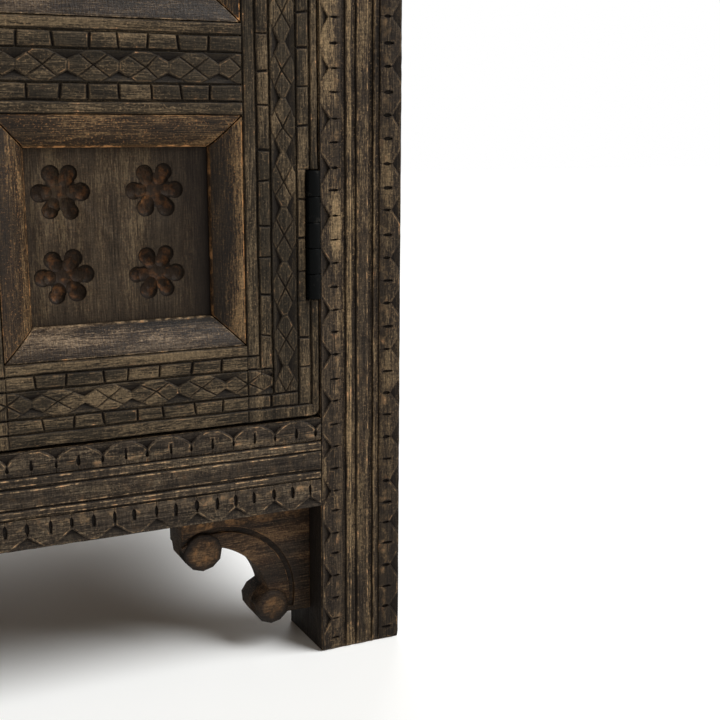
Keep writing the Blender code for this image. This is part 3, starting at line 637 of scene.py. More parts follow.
def toothCells(base, root, start, end, cut, seed):
    rnd = random.Random(seed)
    own = toothCut
    way = 1 if root > base else -1
    wide = abs(root - base)
    stop = wide - cut["stop"]
    pitch = cut["pitch"] / 2
    lines = []
    for i in range(math.ceil((end - start) / pitch) + 5):
        t = start + cut["offset"] + (i - 3) * pitch + about(rnd, own["shift"])
        slim = cut["gouge"] * rnd.uniform(*own["slim"])
        ridge = cut["ridge"] + about(rnd, own["ridgeShift"])
        late = ridge + (wide - cut["stop"] - ridge) * own["late"]
        line = {"isChip": i % 2 == 0}
        if line["isChip"]:
            reach = cut["reach"] * rnd.uniform(*own["reach"])
            line["tip"] = corner(reach, t, own["tipLine"], carving["chip"][1])
            line["tips"] = [line["tip"]]
            for key, turn in (("Up", 1), ("Down", -1)):
                along = t + turn * cut["half"] * rnd.uniform(*own["half"])
                rim = corner(0.0, along, own["rimLine"], own["rimLine"])
                flank = [(share, between(line["tip"], rim, share)) for share in cut["flank"]]
                line["rim" + key] = rim
                line["flank" + key] = [(c[0], c[1] - turn * cut["bulge"] * math.sin(math.pi * share), *c[2:])
                                       for share, c in flank]
        else:
            begin = cut["from"] * rnd.uniform(*own["reach"])
            line["tips"] = [corner(begin, t + s * slim * own["tipSlim"], 0.0, 0.0, 0.0) for s in (-1, 1)]
        for key, turn in (("up", 1), ("down", -1)):
            line[key] = [corner(ridge, t + turn * slim, 0.0, 0.0, own["ridgeArris"], own["ridgeCrest"]),
                         corner(late, t + turn * slim * own["lateSlim"], 0.0, 0.0, own["lateArris"])]
        line["end"] = corner(stop, t, cut["runOut"], 0.0, own["ridgeArris"])
        line["root"] = corner(wide + sway(t, seed) * way, t, carving["joint"])
        lines.append(line)
    cells = []
    for line in lines:
        cells.append(("gouge", 0.0, [*line["tips"][::-1], *line["down"], line["end"], *line["up"][::-1]]))
        if line["isChip"]:
            cells.append(("chip", 0.0, [line["rimDown"], *line["flankDown"][::-1], line["tip"],
                                        *line["flankUp"], line["rimUp"]]))
    for a, mid, b in zip(lines[::2], lines[1::2], lines[2::2]):  # a tooth between two chips
        cells.append(("flat", cut["rub"] + about(rnd, own["rub"]),
                      [a["tip"], a["up"][0], mid["down"][0], *mid["tips"], mid["up"][0], b["down"][0],
                       b["tip"], *b["flankDown"], b["rimDown"], a["rimUp"], *a["flankUp"][::-1]]))
    for a, b in zip(lines, lines[1:]):
        cells.append(("narrow", cut["rub"] + about(rnd, own["rub"]),
                      [*a["up"], a["end"], a["root"], b["root"], b["end"], *b["down"][::-1]]))
    turned = [(kind, rub, [(base + way * c[0], *c[1:]) for c in corners]) for kind, rub, corners in cells]
    return clipCells(turned, start, end)


def refined(corners):  # more corners along the long edges, the same ones from either side
    ring = []
    for i, here in enumerate(corners):
        ring.append(here)
        there = corners[(i + 1) % len(corners)]
        first, second = sorted((here, there))
        count = int(math.hypot(there[0] - here[0], there[1] - here[1]) / carving["step"])
        inner = [between(first, second, j / (count + 1)) for j in range(1, count + 1)]
        ring += inner if first is here else inner[::-1]
    return ring


def carveBand(cells, spot, wall, slope=None, dirt=None):
    # spot turns (across, along, depth) into a place; slope and dirt give extra depth and dirt at a place
    kinds = ("flat", "narrow", "chip", "gouge", "plain")
    keys = ("line", "floor", "arris", "rub", "wear", "depth")
    bm = bmesh.new()
    layers = [bm.verts.layers.float.new(key) for key in keys]
    kindLayer = bm.faces.layers.int.new("kind")
    shareLayer = bm.faces.layers.float.new("share")
    made = {}
    reach, length = carving["shake"]
    for kind, rub, corners in cells:
        ring = []
        for across, along, line, floor, arris, crest in refined(corners):
            key = (round(across * 1e7), round(along * 1e7))  # cells share a corner at the same place
            if key not in made:
                shake = noise.noise_vector(Vector(spot(across, along, 0.0)) / length) * reach
                made[key] = bm.verts.new(spot(across + shake.x, along + shake.z, 0.0))
                for layer, value in zip(layers, (line, floor, arris, crest, 0.0, 0.0)):
                    made[key][layer] = value
            if made[key] not in ring:
                ring.append(made[key])
        if len(ring) > 2:
            face = bm.faces.new(ring)
            face[kindLayer] = kinds.index(kind)
            face[shareLayer] = rub
            face.normal_update()
            if face.normal.y > 0:
                face.normal_flip()
    mesh = bpy.data.meshes.new("band")
    bm.to_mesh(mesh)
    bm.free()
    piece = linked("band", mesh)
    openEdit(piece, "FACE")
    # what is inset, how far, how much of the line's depth stays there, and how worn it is
    steps = [(kind, carving[kind][0], 0.0, 0.0) for kind in ("chip", "gouge")]
    for kind, share in (("flat", 1.0), ("narrow", carving["narrowShare"])):
        edge = ((kind, wall, *carving["wall"]), (None, *carving["shoulder"]), (None, *carving["rim"]))
        steps += [(own, width * share, keep, worn) for own, width, keep, worn in edge]
    for kind, width, keep, worn in steps:
        bm = bmesh.from_edit_mesh(mesh)
        known = len(bm.verts)
        if kind:
            kindLayer = bm.faces.layers.int["kind"]
            choose(piece, "faces", lambda f: f[kindLayer] == kinds.index(kind))
        if not any(f.select for f in bm.faces):
            continue
        bpy.ops.mesh.inset(thickness=width, depth=0.0, use_individual=True, use_even_offset=True)
        bm, line, floor, arris, _, wear, depth = opened(piece, *keys)
        bm.verts.index_update()
        for vert in bm.verts:
            if vert.index < known:
                continue
            vert[wear] = vert[arris] * worn
            if kind == "chip":
                vert[line] = vert[floor]
                vert[depth] = carving["chip"][2] * vert[floor] / carving["chip"][1]
            elif kind == "gouge":
                vert[line] = carving["gouge"][1]
                vert[depth] = carving["gouge"][2]
            else:
                vert[line] *= keep
        bmesh.update_edit_mesh(mesh)
    bm, line, depth, rub = opened(piece, "line", "depth", "rub")
    share = bm.faces.layers.float["share"]
    rise, length = carving["wave"]
    for vert in bm.verts:
        lineDirt = min(carving["mostDirt"], vert[line] / carving["fullDirt"])
        vert[depth] = max(vert[depth], lineDirt, dirt(vert.co) if dirt else 0.0)
        vert[rub] = max(vert[rub], sum(face[share] for face in vert.link_faces) / len(vert.link_faces))
        wave = rise * noise.noise(vert.co / length)
        sunk = max(0.0, vert[line] + wave + rise * carving["waveLift"])
        vert.co.y += sunk + (slope(vert.co) if slope else 0.0)
    bmesh.update_edit_mesh(mesh)
    bpy.ops.mesh.select_mode(type="EDGE")
    selectAll()
    bpy.ops.mesh.dissolve_degenerate(threshold=carving["tiny"])
    choose(piece, "edges", lambda e: len(e.link_faces) == 1)
    bpy.ops.mesh.extrude_edges_move(TRANSFORM_OT_translate={"value": (0.0, carving["skirt"], 0.0)})
    flatten(spot(0.0, 0.0, carving["skirt"])[1])
    soilChosen(piece)
    bpy.ops.mesh.fill_holes(sides=0)
    facesOut()
    closeEdit()
    for layer in ("line", "floor", "arris", "kind", "share"):
        mesh.attributes.remove(mesh.attributes[layer])
    return piece


def planedCore(node, ease, rounding=0.0, way=0):
    # the CAD board with its face planed back to the groove floor, and the corners on side way rounded
    core = nodeCopy(node, "core")
    floor = frontY + carving["grooveDepth"]
    low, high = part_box(node)
    openEdit(core, "VERT")
    choose(core, "verts", lambda v: v.co.y < floor)
    flatten(floor)
    selectAll()
    bpy.ops.mesh.dissolve_limited(angle_limit=angles["flat"])
    if rounding:
        for edge, up in ((low.z, -1), (high.z, 1)):
            pivot = Vector(((high.x if way > 0 else low.x) - way * rounding, 0.0, edge - up * rounding))
            for turn in carving["cornerTurns"]:
                normal = Vector((way * math.cos(turn), 0.0, up * math.sin(turn)))
                bisectAll(pivot + normal * rounding, normal, use_fill=True, clear_outer=True)
    closeEdit()
    easeEdges(core, ease)
    openEdit(core, "FACE")
    choose(core, "faces", lambda f: f.normal.y < -0.99 and f.calc_center_median().y < floor + near["line"])
    bpy.ops.mesh.inset(thickness=carving["coreInset"], depth=0.0)
    soilChosen(core)
    closeEdit()
    return core


def bandEdges(widths, half):  # where each band of a board starts and ends between its grooves
    gap = carving["edgeGap"]
    marks = [sum(widths[:i]) for i in range(len(widths) + 1)]
    return [(a + (half if i else gap), b - (half if i < len(widths) - 1 else gap))
            for i, (a, b) in enumerate(zip(marks, marks[1:]))]


def toothedBands(cut, edges, span, spot, slopes, dirt, seed):  # teeth, three fillets and teeth
    bands = [toothCells(*edges[0], *span, cut["teeth"][0], seed)]
    for i in (1, 2, 3):
        bands.append(filletCells(*edges[i], *span, cut["rub"][i - 1], seed + 2 * i, cut["arris"]))
    bands.append(toothCells(*edges[4][::-1], *span, cut["teeth"][1], seed + 9))
    return [carveBand(cells, spot, cut["wall"], slopes[i], dirt(i)) for i, cells in enumerate(bands)]


# Front posts
frontPost = {
    "bands": (0.0152, 0.0070, 0.0113, 0.0045, 0.0160),
    "half": 0.0015,
    "wall": 0.0006,
    "arris": 1.7,
    "rub": (0.9, 0.15, 0.6),  # the inner fillet is handled most, then the bead
    "dirt": (0.0, 0.0, 0.24, 0.0, 0.40),  # of each band, and more towards the foot
    "footDirt": (0.45, 0.20),
    "teeth": (
        {"rub": 0.1, "pitch": 0.0284, "half": 0.0092, "reach": 0.0062, "from": 0.0058, "ridge": 0.0088,
         "gouge": 0.0009, "stop": 0.0019, "runOut": 0.0007, "offset": 0.007, "flank": (), "bulge": 0.0},
        {"rub": -0.8, "pitch": 0.0284, "half": 0.0092, "reach": 0.0062, "from": 0.0054, "ridge": 0.0084,
         "gouge": 0.0011, "stop": 0.0022, "runOut": 0.0, "offset": 0.0085, "flank": (), "bulge": 0.0}),
    "tilt": 0.10,
    "footGap": 0.0006,
    "footRound": (0.004, 0.4),  # height and steepness
    "grime": 0.92,  # painted shade on the inner side, below the apron
    "grimeFade": (0.001, 0.02),
}
for word, side in pair:
    node = "front_post_" + word
    low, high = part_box(node)
    inner = low.x if side > 0 else high.x
    span = (frontPost["footGap"], high.z - carving["edgeGap"])
    edges = bandEdges(frontPost["bands"], frontPost["half"])
    ridges = [teeth["ridge"] for teeth in frontPost["teeth"]]

    def spot(across, along, depth):
        return (inner + side * across, frontY + depth, along)

    def footRound(place):
        tall, steep = frontPost["footRound"]
        return max(0.0, tall - place.z) ** 2 / tall * steep

    def innerSlope(place):
        past = (place.x - inner) * side - ridges[0]
        return max(0.0, past) * frontPost["tilt"] + footRound(place)

    def outerSlope(place):
        past = edges[4][1] - (place.x - inner) * side - ridges[1]
        return max(0.0, past) * frontPost["tilt"] + footRound(place)

    def bandDirt(i):
        least, (most, reach) = frontPost["dirt"][i], frontPost["footDirt"]
        return lambda place: least + most * max(0.0, 1.0 - place.z / reach)

    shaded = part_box("apron_front")[0].z
    fade, clean = frontPost["grimeFade"]

    # painted shade: the inner side below the apron is darkened as if in shade between bracket and floor
    def innerShade(place):
        return frontPost["grime"] if abs(place.x - inner) < near["line"] and place.z < shaded + fade else 0.0

    core = planedCore(node, carving["ease"])
    soilAndShade(core, [((0, 0, shaded), (0, 0, 1)), ((0, 0, shaded + clean), (0, 0, 1))], innerShade)
    slopes = (innerSlope, footRound, footRound, footRound, outerSlope)
    parts = [core, *toothedBands(frontPost, edges, span, spot, slopes, bandDirt, 10 + side)]
    handOver(joined(pieceName(node), parts), carvedUpright, "case", node)
print("front posts carved")


# Apron and frieze
apron = {
    "bands": (0.0180, 0.0055, 0.0123, 0.0064, 0.0143),
    "half": 0.0005,
    "wall": 0.0005,
    "arris": 1.7,
    "rub": (0.1, -0.6, 0.1),
    "dirt": (0.28, 0.16, 0.34, 0.16, 0.26),
    "teeth": (
        {"rub": -0.25, "pitch": 0.0245, "half": 0.0096, "reach": 0.0076, "from": 0.0074, "ridge": 0.0108,
         "gouge": 0.0013, "stop": 0.0018, "runOut": 0.0, "offset": 0.006, "flank": (), "bulge": 0.0},
        {"rub": -0.2, "pitch": 0.0262, "half": 0.0094, "reach": 0.0066, "from": 0.0046, "ridge": 0.0090,
         "gouge": 0.0010, "stop": 0.0022, "runOut": 0.0, "offset": 0.004, "flank": (0.33, 0.67),
         "bulge": 0.0013}),
    "tilt": 0.09,
}
for node, name, seed in (("apron_front", "apron", 40), ("frieze_front", "frieze", 60)):
    low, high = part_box(node)
    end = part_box("front_post_right")[0].x - carving["edgeGap"]
    edges = bandEdges(apron["bands"], apron["half"])
    ridges = [teeth["ridge"] for teeth in apron["teeth"]]

    def spot(across, along, depth):
        return (along, frontY + depth, low.z + across)

    def lowerSlope(place):
        return max(0.0, place.z - low.z - ridges[0]) * apron["tilt"]

    def upperSlope(place):
        return max(0.0, low.z + edges[4][1] - place.z - ridges[1]) * apron["tilt"]

    def bandDirt(i):
        return lambda place: apron["dirt"][i]

    slopes = (lowerSlope, None, None, None, upperSlope)
    parts = [planedCore(node, carving["ease"])]
    parts += toothedBands(apron, edges, (-end, end), spot, slopes, bandDirt, seed)
    handOver(joined(name, parts), apronLevel, "case", node)
print("apron and frieze carved")


# Door frames
doorFrame = {
    "stile": (0.0079, 0.0083, 0.0162, 0.0083, 0.0054),  # from the panel outward
    "end": (0.0066, 0.0082, 0.0159, 0.0082, 0.0081),  # bottom and top rails, from the panel outward
    "mid": (0.0070, 0.0094, 0.0174, 0.0094, 0.0070),
    "half": 0.0005,
    "wall": 0.0005,
    "railEase": 0.0006,
    "filletRub": 0.1,
    "lowRub": 0.5,  # the bottom rail is rubbed more than the rest, and most just under the moulding
    "sillRub": 0.8,
    "brick": 0.0215,
    "railBrick": 0.0178,
    # fit 2 gives whole repeats, and fit 1 half ones too
    "diamond": {"pitch": 0.0308, "base": 0.72, "reachLow": 0.0062, "reachHigh": 0.0060, "fit": 2},
    "railDiamond": {"pitch": 0.0278, "base": 0.70, "reachLow": 0.0056, "reachHigh": 0.0056, "fit": 2},
    "corner": 0.0042,  # rounding of the door's outer corners
    "hingeRoom": 0.0006,
}


def frameBand(i, low, high, start, end, spot, seed, brick, diamond, rub=0.0):
    if i in (0, 4):
        cells = filletCells(low, high, start, end, doorFrame["filletRub"], seed + i)
    elif i == 2:
        cells = diamondCells(low, high, start, end, diamond, seed + i)
    else:
        cells = brickCells(low, high, start, end, brick, seed + i)
    return carveBand([(kind, own + rub, corners) for kind, own, corners in cells], spot, doorFrame["wall"])


for word, side in pair:
    door = word + "_door"
    lowRail, midRail, topRail = (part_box(door + "_" + name + "_rail") for name in ("bottom", "mid", "top"))
    half, jointGap = doorFrame["half"], carving["jointGap"]
    across = bandEdges(doorFrame["stile"], half)
    endEdges = bandEdges(doorFrame["end"], half)
    # each band of a stile runs to the outer side of the same band on the end rails
    ends = [(lowRail[1].z - b, topRail[0].z + b) for a, b in endEdges]
    leaves = [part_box(word + "_hinge_" + level + "_door_leaf") for level in ("lower", "upper")]
    room = doorFrame["hingeRoom"]
    inners = []
    for kind in ("hinge", "meeting"):
        node = door + "_" + kind + "_stile"
        low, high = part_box(node)
        isHinge = kind == "hinge"
        outward = side if isHinge else -side
        inner = low.x if outward > 0 else high.x
        inners.append(inner)
        seed = 100 + 20 * side + 7 * isHinge

        def spot(a, t, depth):
            return (inner + outward * a, frontY + depth, t)

        def lowerCorner(a, t, depth):
            return (inner + outward * t, frontY + depth, lowRail[1].z - a)

        def upperCorner(a, t, depth):
            return (inner + outward * t, frontY + depth, topRail[0].z + a)

        parts = [planedCore(node, carving["ease"], doorFrame["corner"] if isHinge else 0.0, outward)]
        for i in range(5):
            cuts = list(ends[i])
            if isHinge and i > 2:
                notch = min(abs(leaves[0][j].x - inner) for j in (0, 1)) - room
                cuts[1:1] = [z for leaf in leaves for z in (leaf[0].z - room, leaf[1].z + room)]
            for j, (start, end) in enumerate(zip(cuts, cuts[1:])):
                if j % 2 and i == 4:
                    continue  # the barrel takes the outer fillet's place
                if isHinge and i == 4 and start in ends[4] + (cuts[-2],):
                    level, top = (0, end) if j == 0 else (1, start)
                    mouth = (lowRail[1].z - endEdges[4][0], topRail[0].z + endEdges[4][0])[level]
                    turned = turnedFillet(*across[4], mouth, ends[4][level], jointGap, top,
                                          doorFrame["corner"], doorFrame["filletRub"], seed + 11 * j)
                    parts.append(carveBand(turned, spot, doorFrame["wall"]))
                    continue
                far = notch if j % 2 else across[i][1]
                parts.append(frameBand(i, across[i][0], far, start, end, spot, seed + 11 * j,
                                       doorFrame["brick"], doorFrame["diamond"]))
        for level, cornerSpot in enumerate((lowerCorner, upperCorner)):
            for i in range(1, 4 if isHinge else 5):
                reach = across[i][0] - (half * 2 if i < 4 else jointGap)
                parts.append(frameBand(i, *endEdges[i], jointGap, reach, cornerSpot, seed + 60 + 7 * level,
                                       doorFrame["railBrick"], dict(doorFrame["railDiamond"], fit=1)))
        handOver(joined(pieceName(node), parts), doorUpright, door, node)
    span = (min(inners) + jointGap, max(inners) - jointGap)
    rails = (("bottom", lowRail, doorFrame["end"][::-1]), ("mid", midRail, doorFrame["mid"]),
             ("top", topRail, doorFrame["end"]))
    for name, box, widths in rails:
        node = door + "_" + name + "_rail"

        def spot(a, t, depth):
            return (t, frontY + depth, box[0].z + a)

        parts = [planedCore(node, doorFrame["railEase"])]
        for i, (a, b) in enumerate(bandEdges(widths, half)):
            rub = doorFrame["sillRub" if i == 4 else "lowRub"] if name == "bottom" else 0.0
            parts.append(frameBand(i, a, b, *span, spot, 200 + 30 * side + len(name), doorFrame["railBrick"],
                                   doorFrame["railDiamond"], rub))
        handOver(joined(pieceName(node), parts), doorLevel, door, node)
print("door frames carved")


# Door panels with gouged rosettes
panel = {
    "lobes": 6,
    "turn": (-0.05, 0.12),
    "lobeTurn": 0.08,
    "lobeRadius": 0.0049,
    "lobeDepth": 0.0040,
    "ring": 0.0114,
    "neckRadius": 0.0044,
    "neckDepth": 0.0040,
    "neckLong": 1.4,
    "neckRing": 0.0080,
    "heartRadius": 0.0088,
    "heartDepth": 0.0034,
    "vary": {"heartRadius": (0.94, 1.12), "neckDepth": (0.9, 1.1), "ring": (0.96, 1.04),
             "lobeRadius": (0.94, 1.08), "lobeDepth": (0.85, 1.1)},
    "apart": (0.0525, 0.0465),
    "shift": (-0.006, 0.0014),  # set out a little nearer the meeting stile
    "margin": 0.01,  # no rosette reaches as near as this to the board's edge
    "rim": 0.0003,
    "rimWear": 0.8,
    "wall": (0.0002, 0.0016, 0.97),  # of a hollow: from and to which depth, and dirt with painted shade, darker than the floor
    "floor": (0.0055, 0.78),  # down to which depth, and dirt
    "bare": (0.0024, 0.5),  # from which depth, and wear
    "rough": (0.0007, 0.0026, 0.0008),  # left by the gouge: how much, how wide, from which depth
    "lip": 0.0175,  # of the moulding, over the face
    # painted shade creeps in over the face from the left, right, bottom and top, darkest on the right as the
    # moulding's painted shadow
    "grime": (0.5, 1.0, 0.55, 0.45),
    "grimeReach": (0.010, 0.040, 0.012, 0.010),
    "grimeCuts": (0.0, 0.3, 1.0),
    "grimeFade": 1.3,
}
low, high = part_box("right_door_panel_lower")
faceY = low.y
middle = (low + high) / 2
board = boxOf("board", low, high)
rnd = random.Random(5)


def varied(key):
    return panel[key] * rnd.uniform(*panel["vary"][key])


for across, up in ((-0.5, -0.5), (-0.5, 0.5), (0.5, -0.5), (0.5, 0.5)):
    centreX = middle.x + panel["shift"][0] + across * panel["apart"][0]
    centreZ = middle.z + panel["shift"][1] + up * panel["apart"][1]
    turn = rnd.uniform(*panel["turn"])
    hollows = [(0.0, 0.0, varied("heartRadius"), panel["heartDepth"], 1.0)]
    for i in range(panel["lobes"]):
        angle = turn + math.tau * i / panel["lobes"] + about(rnd, panel["lobeTurn"])
        hollows.append((panel["neckRing"], angle, panel["neckRadius"], varied("neckDepth"),
                        panel["neckLong"]))
        hollows.append((varied("ring"), angle, varied("lobeRadius"), varied("lobeDepth"), 1.0))
    for out, angle, radius, deep, stretch in hollows:
        ball = (radius ** 2 + deep ** 2) / (2 * deep)
        spot = (centreX + out * math.cos(angle), faceY + deep - ball, centreZ + out * math.sin(angle))
        cutAway(board, added("gouge", bpy.ops.mesh.primitive_uv_sphere_add, segments=32, ring_count=20,
                             radius=ball, scale=(stretch, 1.0, 1.0), rotation=(0.0, -angle, 0.0),
                             location=spot))
addWearLayers(board)
openEdit(board, "EDGE")
selectAll()
bpy.ops.mesh.remove_doubles(threshold=near["face"])
lip = Vector((panel["lip"], 0, panel["lip"]))
lipLow, lipHigh = (edge + way * lip for edge, way in zip(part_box("right_door_moulding_lower"), (1, -1)))
lips = ((0, lipLow.x, 1), (0, lipHigh.x, -1), (2, lipLow.z, 1), (2, lipHigh.z, -1))
for (axis, edge, way), reach in zip(lips, panel["grimeReach"]):
    for share in panel["grimeCuts"]:
        cut, normal = Vector(), Vector()
        cut[axis] = edge + way * reach * share
        normal[axis] = 1.0
        bisectAll(cut, normal)


def isInner(place):
    return low.x + panel["margin"] < place.x < high.x - panel["margin"]


choose(board, "edges", lambda e: isArris(e, angles["rim"]) and all(
    abs(v.co.y - faceY) < near["face"] and isInner(v.co) for v in e.verts))
bpy.ops.mesh.bevel(offset=panel["rim"], segments=2, profile=0.5, affect="EDGES", clamp_overlap=True)
bm, wear, depth = opened(board, "wear", "depth")
brink, wallEnd, wallShadeAndDirt = panel["wall"]
floorEnd, floorDirt = panel["floor"]
bareFrom, bareWear = panel["bare"]
rough, roughWide, roughFrom = panel["rough"]
for vert in bm.verts:
    if vert.link_faces and all(face.select for face in vert.link_faces):
        vert[wear] = panel["rimWear"]
    sunk = vert.co.y - faceY
    if brink < sunk < floorEnd and isInner(vert.co):
        # dirt in the hollows, with the walls darker still as painted shade
        vert[depth] = wallShadeAndDirt if sunk < wallEnd else floorDirt
        vert[wear] = max(vert[wear], 0.0 if sunk < bareFrom else bareWear)
        if sunk > roughFrom:
            vert.co.y += rough * noise.noise(vert.co / roughWide)
    elif sunk < brink:
        # painted shade near the moulding, strongest on the right
        for (axis, edge, way), reach, share in zip(lips, panel["grimeReach"], panel["grime"]):
            past = max(0.0, way * (vert.co[axis] - edge)) / reach
            vert[depth] = max(vert[depth], share * max(0.0, 1.0 - past) ** panel["grimeFade"])
done(board)
for word, level in places:
    node = word + "_door_panel_" + level
    handOver(copyAt(node, board, middle), panelUpright, word + "_door", node)
bpy.data.objects.remove(board)
print("panels gouged")


# Mouldings: four mitred sticks round each panel
moulding = {
    "width": 0.0175,
    "reveal": 0.0008,
    "lip": 0.0028,
    "belly": 0.0020,
    "inset": 0.0004,
    "seatGap": 0.0003,
    # short of the width, and down
    "nose": ((0.0012, 0.0), (0.0006, 0.0008), (0.0002, 0.0017), (0.0, 0.0026)),
    "steps": 9,
    "mitreGap": 0.0002,
    "ease": 0.0008,
    # of the bottom, top, left and right sticks: painted shade on the outer side and the nose, set by how the
    # light falls on each, rubbing, wear on the outer arris and the nose, and how much more the crown is
    # rubbed pale as a painted sheen
    "looks": ((0.80, 0.40, 0.0, 1.0, 0.8, 0.25), (0.06, 0.14, 0.0, 1.0, 3.0, 0.0),
              (0.56, 0.62, -0.2, 1.0, 1.0, 0.3), (0.18, 0.82, 0.5, 5.0, 0.6, 0.0)),
    # where across the stick the outer arris ends, the crown with its painted sheen begins and ends, and the
    # nose begins
    "outer": 0.1,
    "crown": (0.40, 0.86),
    "noseFrom": 0.94,
    "upperDirt": 0.4,  # more on the sill of an upper panel
}
low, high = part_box("right_door_moulding_lower")
wide = moulding["width"]
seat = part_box("right_door_panel_lower")[0].y - moulding["seatGap"]
fall = seat - frontY - moulding["lip"] - moulding["reveal"]
run = 1.0 - moulding["nose"][0][0] / wide
profile = []
for i in range(moulding["steps"] + 1):
    t = run * i / moulding["steps"]
    slope = frontY + moulding["reveal"] + fall * t - moulding["belly"] * 4 * t * (1 - t)
    profile.append((wide * t, slope + moulding["inset"]))
profile += [(wide - short, profile[moulding["steps"]][1] + down) for short, down in moulding["nose"][1:]]
profile += [(wide, seat), (0.0, seat)]
level, upright = (True, low.x, high.x), (False, low.z, high.z)
courses = ((*level, low.z, 1, waxedSheenSill), (*level, high.z, -1, waxedLevel),
           (*upright, low.x, 1, waxedUpright), (*upright, high.x, -1, waxedUpright))
sticks = []
for (isLevel, start, end, edge, inward, wood), look in zip(courses, moulding["looks"]):
    outerShade, noseShade, handled, outerWear, noseWear, crown = look
    outline = [(y, edge + inward * across) for across, y in profile]
    outline = [(start, y, z) if isLevel else (z, y, start) for y, z in outline]
    stick = drawnOut("stick", outline, (end - start, 0, 0) if isLevel else (0, 0, end - start))
    for tip, along in ((start, 1), (end, -1)):
        point = Vector((tip, 0, edge) if isLevel else (edge, 0, tip))
        normal = Vector((along, 0, -inward) if isLevel else (-inward, 0, along))
        bisectAll(point + normal * moulding["mitreGap"], normal, use_fill=True, clear_inner=True)
    facesOut()
    closeEdit()
    easeEdges(stick, moulding["ease"])
    openEdit(stick, "VERT")
    bm, wear, depth, rub = opened(stick, "wear", "depth", "rub")
    for vert in bm.verts:
        across = inward * ((vert.co.z if isLevel else vert.co.x) - edge) / wide
        isCrown = moulding["crown"][0] < across < moulding["crown"][1]
        # painted shade from the outer side to the nose, lifted on the crown, which is rubbed pale as a
        # painted sheen
        vert[depth] = max(0.0, outerShade + (noseShade - outerShade) * across - crown * isCrown / 2)
        vert[rub] = handled + crown * isCrown
        if across > moulding["noseFrom"]:
            vert[wear] = noseWear
        elif across < moulding["outer"]:
            vert[wear] *= outerWear
    done(stick)
    stick.data.materials.append(wood)
    sticks.append(stick)
surround = joined("moulding", sticks)
middle = (low + high) / 2
for word, level in places:
    node = word + "_door_moulding_" + level
    copy = copyAt(node, surround, middle)
    if level == "upper":
        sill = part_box(node)[0].z + wide
        soilAndShade(copy, [], lambda place: moulding["upperDirt"] if place.z < sill else 0.0)
    handOver(copy, None, word + "_door", node)
bpy.data.objects.remove(surround)
print("mouldings mitred")


# Scroll brackets: a C scroll with rounded volutes, and a cove that follows its back
bracket = {
    "centre": (0.0735, 0.0683),  # out from the post and down from the apron, as are all places here
    "radius": 0.0460,
    "turn": (72, 14),
    "steps": 20,
    "coveCentre": (0.0611, 0.0610),
    "coveRadius": 0.0464,
    "coveWidth": 0.0036,
    "coveDepth": 0.0022,
    "coveTurn": (124, -12),
    "coveSteps": 30,
    "coveDirt": 0.6,
    "cutterProud": 0.004,
    "upper": (0.07154, 0.02562, 0.0123, 172, 365),  # place, radius and turn of the part that is cut free
    "lower": (0.02683, 0.06869, 0.0117, 100, 331),
    "flats": {"upper": (6, 11), "lower": (7, 11)},  # on the free part and all round
    "uneven": (0.97, 1.02),
    "lip": (0.0848, 0.0232),
    "block": (0.0160, 0.0745),
    "strip": (0.0085, 0.0125, 0.050),  # the face over the cove is worn down to here, and this far out
    "stripWear": (2.0, 0.3),  # out there, and near the post
    "gap": 0.0003,
    "ease": 0.0007,
    # of each volute: how proud it stands, its rounding, how far in its facet lies, the facet's dirt and wear
    "volutes": {"upper": (0.0012, 0.0014, 0.0034, 0.15, 0.8), "lower": (0.0030, 0.0034, 0.0012, 0.5, 0.45)},
    "voluteDepth": 0.012,
    "voluteRub": 0.3,
    # painted shade on the volutes' rounding and sides, round the facet
    "voluteDirt": 0.75,
}


def arcPoints(out, down, radius, start, end, steps):
    turns = [math.radians(start + (end - start) * i / steps) for i in range(steps + 1)]
    return [(out - radius * math.cos(a), down - radius * math.sin(a)) for a in turns]


def cutRound(key):  # hand cut in flats, no two alike
    out, down, radius, start, end = bracket[key]
    steps, count = bracket["flats"][key]
    rnd = random.Random(steps)
    points = []
    for i in range(count):
        angle = math.radians(start + (end - start) * i / steps)
        own = radius * rnd.uniform(*bracket["uneven"])
        points.append((out - own * math.cos(angle), down - own * math.sin(angle)))
    return points


def slab(name, outline, front, back):  # a flat outline in x and z, drawn out in depth
    piece = drawnOut(name, [(x, front, z) for x, z in outline], (0.0, back - front, 0.0))
    facesOut()
    closeEdit()
    return piece


